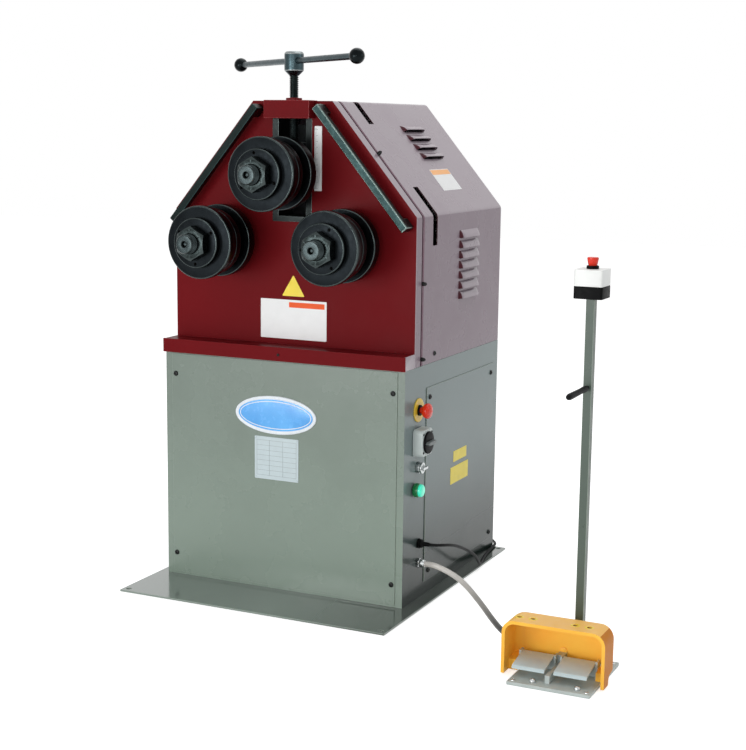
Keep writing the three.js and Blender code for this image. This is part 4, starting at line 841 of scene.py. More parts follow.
# %% Data plate
plate_left, plate_right, plate_foot, plate_top = -78, 53, 305, 420
rule_margin, rule_width, rule_gap, rule_low, rule_high = 6, 0.9, 13.5, 0.6, 1.1
rivet_margin = 4
rule_heights = [plate_foot + 10 + i * rule_gap for i in range(8)]
rule_places = [plate_left + rule_margin, plate_left + 44, plate_left + 84,
               plate_right - rule_margin - rule_width]
ruled = [block(plate_left + rule_margin, plate_right - rule_margin, z, z + rule_width, rule_low, rule_high, 1)
         for z in rule_heights]
ruled += [block(x, x + rule_width, rule_heights[0], rule_heights[-1] + rule_width, rule_low, rule_high, 1)
          for x in rule_places]
rivet = turned([(2.4, 0.4), (2, 1.3, 0.4), (0, 1.7)], 16)
rivets = [moved(rivet, at(x, z)) for x in (plate_left + rivet_margin, plate_right - rivet_margin)
          for z in (plate_foot + rivet_margin, plate_top - rivet_margin)]
data_plate = together(plate(plate_left, plate_right, plate_foot, plate_top, 2, -0.2, 0.8), *ruled, *rivets)
piece("data_plate", moved(data_plate, upright(front_y)), [plate_metal, plate_line], slot="grey_green_paint")
print("data plate:", len(ruled), "rules,", len(rivets), "rivets")

# %% [markdown]
# Two yellow labels sit on the side cover. They are bare plates half a millimetre thick.

# %% Side labels
on_side = at(side_x) @ Matrix.Rotation(math.radians(90), 4, "Z") @ Matrix.Rotation(math.radians(90), 4, "X")
side_labels = [plate(*edges, 1.5, -0.2, 0.5) for edges in ((-1, 94, 327, 357), (-20, 108, 267, 314))]
piece("side_labels", moved(together(*side_labels), on_side), [label_amber], slot="grey_green_paint")
print("side labels:", len(side_labels))

# %% [markdown]
# ## Head
# A maroon front plate, a folded band behind it and the ventilated hood share one outline: a gable with a flat
# top. It is drawn once, with an inset for each sheet and a bend radius at each fold, and pushed along Y.

# %% Head outline
slope_top, slope_foot = Vector((115.5, 0, 1295.5)), Vector((355, 0, 1009))
slope_down = (slope_foot - slope_top).normalized()
slope_out = Vector((-slope_down.z, 0, slope_down.x))
slope_length = (slope_foot - slope_top).length
half_width, head_foot = slope_foot.x, 625.6
face_y, band_front, band_back, hood_front, hood_back = -271.4, -268.1, -235.4, -228.2, 331
sheet_wall, outer_bend, inner_bend = 3, 7, 4


def gable(inset, bottom, bend):
    reach = slope_out.dot(slope_top) - inset
    x, top = half_width - inset, slope_top.z - inset
    shoulder = (reach - slope_out.x * x) / slope_out.z
    top_x = (reach - slope_out.z * top) / slope_out.x
    corners = [(-x, bottom), (-x, shoulder, bend), (-top_x, top, bend), (top_x, top, bend),
               (x, shoulder, bend), (x, bottom)]
    return rounded(corners, False, 5)[0]


def along_y(outline, places):
    """An outline of (x, z) pushed through the places in Y."""
    return stitched([[(x, y, z) for x, z in outline] for y in places])


def folded(places, inset=0, wall=sheet_wall):
    outside, inside = gable(inset, head_foot, outer_bend), gable(inset + wall, head_foot, inner_bend)
    return along_y(outside + inside[::-1], places)


print("slope of the head:", round(slope_length, 1), "mm")

# %% [markdown]
# Slots and vents are punched through the sheet. A Boolean modifier with the exact solver does this for good,
# and the walls of the hole take the tool's material number, so they can be dark: painted shade inside the
# hole.

# %% Cuts
cut_solver = "EXACT"


def cut(made_object, made):
    """Cuts a shape out of an object; the new faces keep the shape's material numbers."""
    tool = placed("tool", mesh_of("tool", made, made_object.data.materials, made_object.location / MM))
    tool.location = made_object.location
    modifier = made_object.modifiers.new("cut", "BOOLEAN")
    modifier.operation = "DIFFERENCE"
    modifier.solver = cut_solver
    modifier.object = tool
    bpy.context.view_layer.update()
    result = bpy.data.meshes.new_from_object(made_object.evaluated_get(bpy.context.evaluated_depsgraph_get()))
    made_object.modifiers.clear()
    made_object.data = result
    bpy.data.objects.remove(tool)
    shade(result)


print("cuts use the solver", cut_solver)

# %% [markdown]
# The front plate is a copy of its CAD node, and its side faces take the mauve: a painted reflection. The band
# is a folded strip behind it, notched for the bridge, its upright sides in painted shade, and a lap of sheet
# shows in the seam between band and hood, darkened with painted shade.

# %% Front plate and band
def upright_side(normal, centre):
    """Whether a face lies on one of the upright sides of band or hood."""
    return abs(normal.x) > 0.95 and abs(centre.x) > 0.35


front_plate = rebuilt("head_frame", 0.8, [maroon, maroon_edge, mauve], edge_material=1)
facing(front_plate, 2, lambda normal, centre: abs(normal.x) > 0.7 and abs(centre.x) > 0.2)

bridge_half, lap_reach = 58.3, 8
notch_front, notch_back, notch_foot, notch_top = -274, -240, 1280, 1310
band = piece("head_band_sheet", folded((band_front, band_back)), [mauve, mauve_edge, seam_dark, mauve_shaded_side],
             slot="mauve_paint", replaces=["head_band"])
cut(band, block(-bridge_half, bridge_half, notch_front, notch_back, notch_foot, notch_top, 2))
facing(band, 3, upright_side)
bevelled(band, 0.6, edge_material=1)
lap_inset, lap_wall = sheet_wall + 0.05, 1.2
piece("seam_lap", folded((band_back - lap_reach, hood_front + lap_reach), lap_inset, lap_wall),
      [seam_shade_mauve], slot="maroon_paint")
print("band:", len(band.data.polygons), "faces")

# %% [markdown]
# The hood carries the same details on both sides, so two frames of reference do the work: one on the slope
# and one on the upright side, each mirrored for the left. Long strap slots are cut through the folds.

# %% Hood
seam_lip, back_sheet = 7, 3
slot_in, slot_out, slot_width = 9, 6, 30


def slope_frame(side):
    frame_axes = Matrix((slope_out, (0, 1, 0), -slope_down)).transposed().to_4x4()
    return Matrix.Scale(side, 4, (1, 0, 0)) @ Matrix.Translation(slope_top) @ frame_axes


def side_frame(side):
    return Matrix.Scale(side, 4, (1, 0, 0)) @ at(half_width)


hood = piece("hood_sheet", folded((hood_front, hood_front + seam_lip, hood_back - back_sheet)),
             [mauve, mauve_edge, seam_dark, mauve_shaded_side, seam_shade_mauve], slot="mauve_paint", replaces=["hood"])
strap_slots = [(slope_frame, -152, -74, 19), (slope_frame, -165, -slope_length - 3, -281),
               (side_frame, -165, 931, slope_foot.z)]
for side in (1, -1):
    for frame_of, front, low, high in strap_slots:
        cut(hood, moved(block(-slot_in, slot_out, front, front + slot_width, low, high, 2), frame_of(side)))
print("hood:", len(hood.data.polygons), "faces")

# %% [markdown]
# The louvres are pressed scoops, open at the foot and rounded off at both ends. Each is a skin whose bulge
# follows a sine across and a circle towards its ends, given a wall. A bump in the material would be cheaper,
# but wouldn't show from the side.

# %% Louvre shape
louvre_half, louvre_drop, louvre_out, louvre_end = 69, 20, 11, 24
louvre_skin, shaded_end = 1.5, 9


def border(rows, count):
    """Point numbers round the edge of a skin of rows, each of count points."""
    last = (rows - 1) * count
    return (list(range(count)) + [i * count + count - 1 for i in range(1, rows)]
            + [last + k for k in range(count - 2, -1, -1)] + [i * count for i in range(rows - 2, 0, -1)])


def walled(outer, inner, faces, rim):
    """Two skins with the same faces, joined round their rim."""
    size = len(outer)
    faces = faces + [tuple(size + i for i in face) for face in faces]
    faces += [(a, b, b + size, a + size) for a, b in zip(rim, rim[1:] + rim[:1])]
    return shape(outer + inner, faces)


def scoop(long_steps=30, drop_steps=7):
    rows = []
    for i in range(long_steps + 1):
        y = -louvre_half + 2 * louvre_half * i / long_steps
        end = max(0, abs(y) - louvre_half + louvre_end) / louvre_end
        bulge = louvre_out * math.sqrt(max(0, 1 - end * end))
        rows.append([(bulge * math.sin(share * math.pi / 2) ** 0.9, y, -louvre_drop * share)
                     for share in (j / drop_steps for j in range(drop_steps + 1))])
    outer, faces, _ = stitched(rows, closed=False, ends=False)
    inner = [(x - louvre_skin, y, z) for x, y, z in outer]
    points, faces, _ = walled(outer, inner, faces, border(long_steps + 1, drop_steps + 1))
    middles = [sum(points[i][1] for i in face) / len(face) for face in faces]
    # Faces near the front end take material 1, a dark maroon: painted shade on that end.
    return shape(points, faces, [1 if y < -louvre_half + shaded_end else 0 for y in middles])


print("a louvre:", len(scoop()[1]), "faces")

# %% [markdown]
# Seven louvres go down each side and four down each slope. Each one is laid over a vent that is cut through
# the hood, so there is an opening behind it, its walls in painted shade. The upright sides take the mauve in
# painted shade, and the lip at the seam takes the seam's painted shade last, after the bevel has made its new
# faces.

# %% Louvres on the hood
side_pitch, slope_pitch = 27.4, 31
side_louvres = [(side_frame, 85, 960 - i * side_pitch) for i in range(7)]
slope_louvres = [(slope_frame, 101, -80 - i * slope_pitch) for i in range(4)]
vent_in, vent_out, vent_margin = 6, 3, 6
scoops = []
vent = block(-vent_in, vent_out, -louvre_half + vent_margin, louvre_half - vent_margin,
             -louvre_drop - louvre_skin, -vent_out, 2)
for side in (1, -1):
    for frame_of, y, z in side_louvres + slope_louvres:
        place = frame_of(side) @ at(0, y, z)
        scoops.append(moved(scoop(), place))
        cut(hood, moved(vent, place))
facing(hood, 3, lambda normal, centre: upright_side(normal, centre) and centre.y > -0.2)
bevelled(hood, 0.5, edge_material=1)
facing(hood, 4, lambda normal, centre: centre.y < (hood_front + seam_lip) * MM)
piece("hood_louvres", together(*scoops), [mauve, seam_dark], slot="mauve_paint")
back_wall = piece("hood_back", along_y(gable(0, head_foot, outer_bend), (hood_back - back_sheet, hood_back)),
                  [mauve, mauve_edge], slot="mauve_paint")
bevelled(back_wall, 0.8, edge_material=1)
print("hood:", len(hood.data.polygons), "faces,", len(scoops), "louvres")

# %% [markdown]
# Screws hold band and hood. Those in the seam sit deep in it, so their heads are stretched along their axis
# until they show. The rest are the same small head at other sizes.

# %% Head screws
seam_y = (band_back + hood_front) / 2
seam_screw, band_screw, ledge_screw, head_stretch = 5.5, 6.5, 4, 3.2
tall_head = pointing((1, 0, 0)) @ Matrix.Scale(head_stretch, 4, (0, 0, 1))
side_screw_rows = [(slope_frame, seam_screw, seam_y + 4, -172, tall_head),
                   (side_frame, seam_screw, seam_y + 4, 838, tall_head),
                   (side_frame, seam_screw, seam_y + 4, 643, tall_head),
                   (side_frame, band_screw, -143, 648, pointing((1, 0, 0)))]
head_screws = [moved(screw_head(radius), frame_of(side) @ at(0, y, z) @ turn)
               for side in (1, -1) for frame_of, radius, y, z, turn in side_screw_rows]
head_screws.append(moved(screw_head(ledge_screw), pointing((0, -1, 0), (-5, -337, 642))))
head_screws += [moved(screw_head(seam_screw), pointing((0, 1, 0), (x * side, hood_back, z)))
                for x, z in ((330, 660), (330, 985), (110, 1270)) for side in (-1, 1)]
piece("head_screws", together(*head_screws), [black_screw], slot="mauve_paint")
print("head screws:", len(head_screws))

# %% [markdown]
# The labels on the head are bare plates in the photograph's colours: a white one with an orange strip, a
# yellow triangle with round corners, and a white one with an orange head on the slope of the hood.

# %% Head labels
front_label = together(plate(-93, 103, 676, 780, 2, -0.2, 0.4), plate(-8, 97, 760, 774, 1, 0, 0.6, 1))
triangle = rounded([(-29, 790, 4), (38, 790, 4), (4.8, 846, 4)], True)[0]
face_labels = together(front_label, extruded(triangle, -0.2, 0.5, 2))
piece("face_labels", moved(face_labels, upright(face_y)), [label_white, label_signal, label_yellow],
      slot="maroon_paint")
slope_label = together(block(-0.2, 0.5, 15, 143, -301, -230), block(0, 0.7, 17, 141, -248, -232, 1))
piece("slope_label", moved(slope_label, slope_frame(1)), [label_white, label_orange], slot="mauve_paint")
print("head labels: 3")

# %% [markdown]
# ## Guide bars, bridge and slide
# These are machined blocks whose edges have been handled, and the bevel faces carry a brighter steel: a
# painted highlight. The left bar lies in the head's own shade and is darker than the right one: painted
# shade.

# %% Machined blocks
for node, width, pair, slot_name, body in (
        ("left_rail", 2.4, [rail_shade, rail_steel], "rail_steel", "machine"),
        ("right_rail", 2.4, [rail_steel, rail_edge], "rail_steel", "machine"),
        ("slide_guides", 0.8, [guide_steel, guide_edge], "guide_steel", "machine"),
        ("slide_block", 0.8, [guide_steel, guide_edge], "guide_steel", "slide"),
        ("bridge_block", 1.2, [maroon, maroon_edge], "maroon_paint", "machine")):
    rebuilt(node, width, pair, body=body, edge_material=1)
    print(node, "rides on", body)

# %% [markdown]
# The position scale is a pale strip beside the slide with fine marks, every fifth one longer. It is a steel
# rule, and its near-white colour is a painted reflection. The marks are thin raised blocks of black.

# %% Position scale
scale_left, scale_right, scale_foot, scale_top = 66, 87, 1067, 1232
scale_y, scale_wall = -273.6, 1.8
tick_left, tick_gap, tick_width, tick_rise = scale_left + 0.6, 3, 0.5, 0.1
short_tick, long_tick = 5, 9
tick_rows = [scale_foot + 6 + i * tick_gap for i in range(52)]
tick_lengths = [short_tick if i % 5 else long_tick for i in range(len(tick_rows))]
ticks = [block(tick_left, tick_left + length, z, z + tick_width, 0, tick_rise, 1)
         for z, length in zip(tick_rows, tick_lengths)]
scale_strip = plate(scale_left, scale_right, scale_foot, scale_top, 1.5, -scale_wall, 0)
piece("scale_strip", moved(together(scale_strip, *ticks), upright(scale_y)), [scale_metal, black_plastic],
      slot="scale_metal", replaces=["position_scale"])
print("scale:", len(ticks), "marks")

# %% [markdown]
# ## Rolls and shafts
# A roll is two steel discs on a shaft, clamped by a nut. Each is turned about its own axis, and its object's
# origin lies on that axis, so the rings of the turning run round the real centre. Heights in these profiles
# are distances in front of the frame's origin.

# %% Roll profiles
shaft_bore, disc_radius, drum_radius, neck_radius, hub_radius = 25.3, 94, 86, 62, 64
inner_low, inner_face, neck_face = 315, 345, 372
drum_low, groove, drum_face, disc_face, hub_face = 372.3, 395.5, 418.3, 440.3, 458.3
groove_half, groove_depth = 1.5, 1.4
corner_cut = 0.6
inner_profile = [(shaft_bore, inner_low), (disc_radius, inner_low, 2.4), (disc_radius, inner_face, 2.4),
                 (neck_radius + corner_cut, inner_face), (neck_radius, inner_face + corner_cut),
                 (neck_radius, neck_face, 1), (shaft_bore, neck_face)]
outer_profile = [(shaft_bore, drum_low), (drum_radius, drum_low, 1.6),
                 (drum_radius, groove - groove_half, 0.5), (drum_radius - groove_depth, groove - 0.7),
                 (drum_radius - groove_depth, groove + 0.7), (drum_radius, groove + groove_half, 0.5),
                 (drum_radius, drum_face), (disc_radius, drum_face, 1.6), (disc_radius, disc_face, 3.4),
                 (hub_radius + corner_cut, disc_face), (hub_radius, disc_face + corner_cut),
                 (hub_radius, hub_face, 2.6), (34, hub_face), (shaft_bore, hub_face - 0.2)]
print("roll:", 2 * disc_radius, "mm across,", hub_face - inner_low, "mm long")

# %% [markdown]
# The nut is a hexagon chamfered at 30 degrees, which gives the real curved edge on each flat. Its radius
# changes with the angle, so rows of points are worked out from the flats and then skinned.

# %% Hexagon nut
nut_flats, nut_foot, nut_face, nut_chamfer = 78, hub_face + 0.3, 486.6, 5


def hex_nut(flats, low, high, chamfer, bore, segments=72):
    flat = flats / 2
    corner = flat / math.cos(math.pi / 6)
    edge, countersink = 0.6, 1.6
    points, faces, marks = [], [], []
    for k in range(segments):
        angle = 2 * math.pi * k / segments
        off_flat = (angle + math.pi / 6) % (math.pi / 3) - math.pi / 6
        reach = flat / math.cos(off_flat)
        drop = chamfer * (reach - flat) / (corner - flat)
        profile = [(bore, low), (flat * 0.97, low), (reach, low + edge + drop * 0.5),
                   (reach, high - edge - drop), (flat * 0.96, high), (bore + countersink, high),
                   (bore, high - countersink)]
        points += [(radius * math.cos(angle), radius * math.sin(angle), height) for radius, height in profile]
    rows = len(profile)
    for k in range(segments):
        n = (k + 1) % segments
        for r in range(rows):
            s = (r + 1) % rows
            faces.append((k * rows + r, n * rows + r, n * rows + s, k * rows + s))
            marks.append(1 if r == 3 else 0)
    return shape(points, faces, marks)


print("hexagon nut:", len(hex_nut(nut_flats, nut_foot, nut_face, nut_chamfer, shaft_bore)[1]), "faces")

# %% [markdown]
# The shaft has a shoulder behind the rolls and a thread under the nut. At this size seven plain ridges read
# as a thread. A centre hole in its end face is left from the lathe.

# %% Shaft profile
shaft_radius, thread_root, shoulder_radius = 25, 23.6, 38
thread_start, thread_pitch = 488, 2.8
shaft_tip = 512.6
thread = []
for i in range(7):
    start = thread_start + i * thread_pitch
    thread += [(shaft_radius, start), (thread_root, start + 0.9), (thread_root, start + 1.5),
               (shaft_radius, start + 2.4)]


def shaft_profile(rear):
    return [(0, rear), (shaft_radius, rear, 1.5), (shaft_radius, 285), (shoulder_radius, 285, 1),
            (shoulder_radius, inner_low - 0.3, 1), (shaft_radius, inner_low - 0.3), *thread,
            (shaft_radius, 509, 0.6), (22.4, shaft_tip, 0.8), (9, shaft_tip, 0.6), (5.5, 508), (5, 503),
            (0, 501)]


print("thread:", len(thread) // 4, "ridges")

# %% [markdown]
# One loop builds the three sets. Three small holes are drilled in each outer disc, at a turn that was read
# off the photograph for each roll, so the rolls don't look like stamped copies.

# %% Rolls, nuts and shafts
def in_front(x, z):
    """A matrix that turns a profile's height into the distance in front of the frame's origin."""
    return pointing((0, -1, 0), (x, 0, z))


lower_x, lower_z, upper_z, roll_middle = 180, 934, 1112, -400
hole_circle, hole_radius, hole_foot, hole_top = 54, 4.6, 446, 464
lower_rear, upper_rear = -10, 146
roll_sets = [("left", "left_roller", -lower_x, lower_z, lower_rear, 30),
             ("right", "right_roller", lower_x, lower_z, lower_rear, 64),
             ("upper", "upper_roller", 0, upper_z, upper_rear, 98)]
hole_profile = [(0, hole_foot), (hole_radius, hole_foot), (hole_radius, hole_top), (0, hole_top)]
# Mark 2 gives each hole's walls dark_hole: painted shade inside the hole.
hole = marked(turned(hole_profile, 24), 2)
nut = hex_nut(nut_flats, nut_foot, nut_face, nut_chamfer, shaft_bore)
for side, body, x, z, rear, hole_turn in roll_sets:
    axis, rides = in_front(x, z), {"body": body, "origin": (x, roll_middle, z)}
    piece(f"{side}_inner_ring", moved(turned(inner_profile, 96, True), axis), [roll_steel, roll_edge],
          slot="roll_steel", replaces=[f"{side}_inner_roll"], **rides)
    ring = piece(f"{side}_outer_ring", moved(turned(outer_profile, 96, True), axis),
                 [roll_steel, roll_edge, dark_hole], slot="roll_steel", replaces=[f"{side}_outer_roll"],
                 **rides)
    for hole_x, hole_z in circle(hole_circle, 3, math.radians(hole_turn)):
        cut(ring, moved(hole, in_front(x + hole_x, z + hole_z)))
    piece(f"{side}_hex_nut", moved(nut, axis), [nut_steel, roll_edge], slot="nut_steel",
          replaces=[f"{side}_shaft_nut"], **rides)
    piece(f"{side}_arbor", moved(turned(shaft_profile(rear)), axis), [shaft_steel, roll_edge],
          slot="shaft_steel", replaces=[f"{side}_shaft"], **rides)
    print(side, "roll at", (x, z))

# %% [markdown]
# Flanged housings carry the lower shafts, each with six bolts. The upper shaft turns in a sleeve that slides
# up and down with its roll, so it rides on the slide's body.

# %% Bearings
bolt_circle, flange_face = 52, 283.7
bolt = marked(turned([(0, 3), (3, 3), (3, 5), (4.6, 5, 0.6), (5, 4), (5, -0.3), (0, -0.3)], 20), 1)
bolts = [moved(bolt, at(x, y, flange_face)) for x, y in circle(bolt_circle, 6, math.pi / 6)]
housing_profile = [(shaft_bore, 40), (45, 40, 1), (45, 271.7), (62, 271.7, 0.6), (62, flange_face, 1.6),
                   (40, flange_face, 0.8), (39, 282.4), (shaft_bore, 282.4)]
sleeve_profile = [(shaft_bore, 150), (34, 150, 1), (34, 268.3), (37, 268.3, 0.5), (37, 279.3, 1.2),
                  (shaft_bore, 279.3)]
for side, x in (("left", -lower_x), ("right", lower_x)):
    housing = together(turned(housing_profile, 64, True), *bolts)
    piece(f"{side}_bearing_housing", moved(housing, in_front(x, lower_z)), [bearing_steel, black_screw],
          slot="bearing_steel", replaces=[f"{side}_bearing"])
piece("upper_bearing_housing", moved(turned(sleeve_profile, 64, True), in_front(0, upper_z)),
      [bearing_steel, roll_edge], body="slide", slot="bearing_steel", replaces=["upper_bearing"])
print("bearings: 3, bolts:", 2 * len(bolts))

# %% [markdown]
# ## Screw and handle
# The screw has a real thread of 5 mm pitch: a row of points round the shaft rises step by step, and each
# point's radius follows a flat-topped wave of its angle and height. Its head is turned, with a cross hole.

# %% Screw
screw_axis_y = -262
screw_radius, screw_root, screw_pitch = 11.9, 9.8, 5
thread_low, thread_high = 1189, 1360
crest_share, flank_share = 0.18, 0.14
handle_z, handle_half, handle_turn = 1396.6, 366, -0.211 * math.pi
handle_along = Vector((math.cos(handle_turn), math.sin(handle_turn), 0))
handle_at = pointing(handle_along, (0, screw_axis_y, handle_z))


def screw_thread(around=30, rows_per_pitch=8):
    count = int((thread_high - thread_low) / screw_pitch * rows_per_pitch)
    rows = []
    for j in range(count + 1):
        z = thread_low + (thread_high - thread_low) * j / count
        row = []
        for k in range(around):
            phase = (z / screw_pitch - k / around) % 1
            wave = min(max((abs(phase - 0.5) - crest_share) / flank_share, 0), 1)
            radius = screw_root + (screw_radius - screw_root) * wave
            angle = 2 * math.pi * k / around
            row.append((radius * math.cos(angle), radius * math.sin(angle), z))
        rows.append(row)
    return stitched(rows)


collar_profile = [(0, 1172.7), (17, 1172.7, 0.8), (17, 1179.7, 0.8), (12, 1179.7), (12, 1190), (0, 1190)]
head_profile = [(0, 1359), (11.9, 1359, 0.5), (25, 1372, 1.5), (25, 1416, 3), (20, 1420, 2), (0, 1420)]
head = together(turned(head_profile), turned(collar_profile, 48))
screw = piece("screw_head", moved(head, at(0, screw_axis_y)), [handle_steel, handle_edge], body="screw",
              slot="handle_steel", replaces=["spindle"])
eye_radius, eye_half = 8.3, 40
cut(screw, moved(turned([(0, -eye_half), (eye_radius, -eye_half), (eye_radius, eye_half), (0, eye_half)], 32),
                 handle_at))
screw_turns = piece("screw_thread", moved(screw_thread(), at(0, screw_axis_y)), [thread_steel], body="screw",
                    slot="handle_steel", angle=50)
print("thread:", len(screw_turns.data.polygons), "faces")

# %% [markdown]
# The bar slides in the cross hole and ends in two balls. Bar and balls are one turned profile; the balls, in
# near-black steel, are picked out by their distance from the middle.

# %% Handle bar
bar_radius, neck_radius_of_bar, ball_radius, ball_steps = 8, 6.5, 19, 12
ball_reach = 342


def ball_end(sign):
    """Half a ball's outline, from the bar's neck to the ball's tip."""
    neck = math.asin(neck_radius_of_bar / ball_radius)
    angles = [neck + (math.pi - neck) * i / ball_steps for i in range(ball_steps)]
    out = [(ball_radius * math.sin(angle), sign * (handle_half - ball_radius * math.cos(angle)))
           for angle in angles]
    return out + [(0, sign * (handle_half + ball_radius))]


bar_profile = ball_end(-1)[::-1] + [(neck_radius_of_bar, -346), (bar_radius, -330), (bar_radius, 330),
                                    (neck_radius_of_bar, 346)] + ball_end(1)
handle = piece("handle", moved(turned(bar_profile, 40), handle_at), [handle_steel, ball_steel], body="screw",
               slot="handle_steel", replaces=["handle_bar"], angle=50)
facing(handle, 0, lambda normal, centre: True)
facing(handle, 1, lambda normal, centre: math.hypot(centre.x, centre.y - screw_axis_y * MM) > ball_reach * MM)
print("handle:", 2 * (handle_half + ball_radius), "mm from ball to ball")

# %% [markdown]
# ## Controls on the right side
# Each control sits on its own axis, which points out of the cabinet's side. The emergency stop is a red
# mushroom over a yellow plate. The head rides on the body that its joint presses in.

# %% Emergency stop
control_y, wall_x = -243, 355
stop_z, switch_z, selector_z, start_y, start_z = 513, 431, 362, -262, 306
button_hole, stem_foot = 11, -16


def from_side(y, z):
    return pointing((1, 0, 0), (wall_x, y, z))


stop_plate = [(14.2, 0.3), (31, 0.3, 0.4), (31, 3.3, 1), (14.2, 3.3)]
stop_collar = [(8.3, 0.3), (14, 0.3), (14, 8, 1), (8.3, 8)]
stop_mushroom = [(0, stem_foot), (8, stem_foot, 0.5), (8, 15), (14, 15, 1.5), (19.6, 22, 3), (20, 30, 2),
                 (16, 34.6, 3), (0, 39)]
stop_base = together(turned(stop_plate, 64, True), marked(turned(stop_collar, 40, True), 2))
piece("stop_plate", moved(stop_base, from_side(control_y, stop_z)),
      [yellow_plastic, yellow_plastic, black_plastic], slot="yellow_plastic", replaces=["stop_ring"])
piece("stop_head", moved(turned(stop_mushroom, 56), from_side(control_y, stop_z)), [red_plastic, red_plastic],
      body="stop", slot="red_plastic", replaces=["stop_button"], angle=40)
print("emergency stop at z", stop_z)

# %% [markdown]
# The main switch sits in a moulded case with a slight draft, which is why its front is drawn in by a
# twentieth. Its dial turns with the joint, and the lever across it is a flat extrusion with tapered ends.

# %% Main switch
case_width, case_height, case_corner, case_depth, draft_share = 68, 72, 10, 28, 0.95
case_screw, case_screw_x, case_screw_y = 3.4, 26, 24
switch_at = from_side(control_y, switch_z)
case_outline = round_box(case_width, case_height, case_corner)
case_points, case_faces, case_marks = extruded(case_outline, 0.3, case_depth)
case_points = [(x * draft_share, y * draft_share, z) if z == case_depth else (x, y, z)
               for x, y, z in case_points]
case = piece("switch_case", moved((case_points, case_faces, case_marks), switch_at),
             [grey_plastic, grey_plastic, dark_hole], slot="grey_plastic", replaces=["switch_housing"])
cut(case, moved(turned([(0, -2), (11.3, -2), (11.3, 32), (0, 32)], 40), switch_at))
bevelled(case, 2.2, 4)
case_screws = [moved(marked(screw_head(case_screw), 0), switch_at @ at(x, y, case_depth - 0.6))
               for x, y in ((-case_screw_x, -case_screw_y), (case_screw_x, case_screw_y),
                            (case_screw_x, -case_screw_y), (-case_screw_x, case_screw_y))]
piece("switch_case_screws", together(*case_screws), [black_screw], slot="black_plastic")
dial_profile = [(0, stem_foot), (button_hole, stem_foot), (button_hole, 28.3), (29, 28.3, 0.6),
                (29, 34.3, 1.4), (0, 34.3)]
lever = extruded([(-28, 0), (-20, -4.5), (18, -5), (22, -3.5), (22, 3.5), (18, 5), (-20, 4.5)], 34, 44, 2)
dial = piece("switch_dial", moved(together(turned(dial_profile), lever), switch_at),
             [black_plastic, black_plastic, knob_grey], body="power_switch", slot="black_plastic",
             replaces=["switch_knob"])
bevelled(dial, 0.8, 3, angle=50)
print("main switch:", len(case_screws), "case screws")

# %% [markdown]
# The key selector is a plated barrel with a groove and a flat key. The start button is a green body with a
# domed, lit lens.

# %% Key selector and start button
barrel_profile = [(0, stem_foot), (button_hole, stem_foot), (button_hole, 0.3), (15, 0.3, 0.5), (15, 10, 0.4),
                  (13.6, 10.4), (13.6, 11.4), (15, 12, 0.4), (15, 17, 1.5), (9, 17), (8.4, 15.6), (0, 15.6)]
key = extruded([(-3.2, -14), (3.2, -14), (3.2, 14), (-3.2, 14)], 15, 25)
key_lock = together(turned(barrel_profile, 48), moved(key, Matrix.Rotation(math.radians(90), 4, "Z")))
selector = piece("key_lock", moved(key_lock, from_side(control_y, selector_z)), [bright_metal, bright_metal],
                 body="selector", slot="selector_metal", replaces=["key_selector"])
bevelled(selector, 0.6, 2, angle=50)

button_profile = [(0, stem_foot), (button_hole, stem_foot), (button_hole, 3.6), (18.5, 3.6, 0.8),
                  (18.5, 16, 1), (16.6, 16.4), (16.6, 17), (0, 17)]
lens_profile = [(0, 16.8), (16.4, 16.8), (16.4, 23.5, 3), (12, 26.4, 3), (0, 27)]
start_lamp = together(turned(button_profile, 48), marked(turned(lens_profile, 48), 2))
piece("start_lamp", moved(start_lamp, from_side(start_y, start_z)), [green_body, green_body, green_lens],
      body="start", slot="green_plastic", replaces=["start_button"], angle=45)
print("key selector at z", selector_z, "and start button at z", start_z)

# %% [markdown]
# Both cords leave the wall through a gland: a hexagon foot, a dome nut and a tapered sleeve on the cord.

# %% Glands
def cable_gland(name, node, z, radius, length, cord, material):
    foot = hex_nut(radius * 2, 0.3, 7, 1.5, cord, 48)
    dome = turned([(0, -10), (9, -10), (9, 7), (radius - 0.6, 7, 0.6), (radius - 0.6, 12, 2.5),
                   (cord + 2.6, 16, 1), (cord + 2.2, 17), (cord + 1.1, length), (0, length)], 48)
    piece(name, moved(together(foot, dome), from_side(mains_start[1], z)), [material, material],
          slot="black_plastic", replaces=[node])


cable_gland("lead_gland", "mains_gland", mains_start[2], 12, 33, cord_radius, black_plastic)
cable_gland("conduit_fitting", "conduit_gland", conduit_start[2], 11.5, 20, conduit_radius, bright_metal)
print("glands at z", mains_start[2], "and", conduit_start[2])

# %% [markdown]
# ## Foot switch
# A cast base carries two sprung pedals. The CAD shapes are right, so they get rounded edges and screws: domes
# in front and countersunk heads at the corners.

# %% Pedals and base
rebuilt("pedal_base", 0.9, [pedal_casting, pedal_edge], edge_material=1)
for node, body in (("left_pedal", "pedal_left"), ("right_pedal", "pedal_right")):
    rebuilt(node, 1.3, [pedal_tread, pedal_edge], body=body, segments=3, edge_material=1)
base_top = 8
dome = turned([(7.5, -0.2), (7.2, 5, 2), (4, 8.4, 2), (0, 9)], 28)
flat_head = turned([(5.5, -0.2), (5, 1.6, 0.6), (2.4, 2.2), (2.2, 1.2), (0, 1.2)], 20)
plate_heads = [moved(dome, at(x, -672, base_top)) for x in (831, 935)]
plate_heads += [moved(flat_head, at(x, y, base_top)) for x in (787, 959) for y in (-680, -475)]
piece("pedal_plate_screws", together(*plate_heads), [bright_metal], slot="pedal_casting")
print("foot switch:", len(plate_heads), "screws")

# %% [markdown]
# The post is a square tube with a rubber grip. On top stands a small two-part box with a second stop, whose
# head is a cone that widens upwards. Its collar leaves room for the head to be pressed.

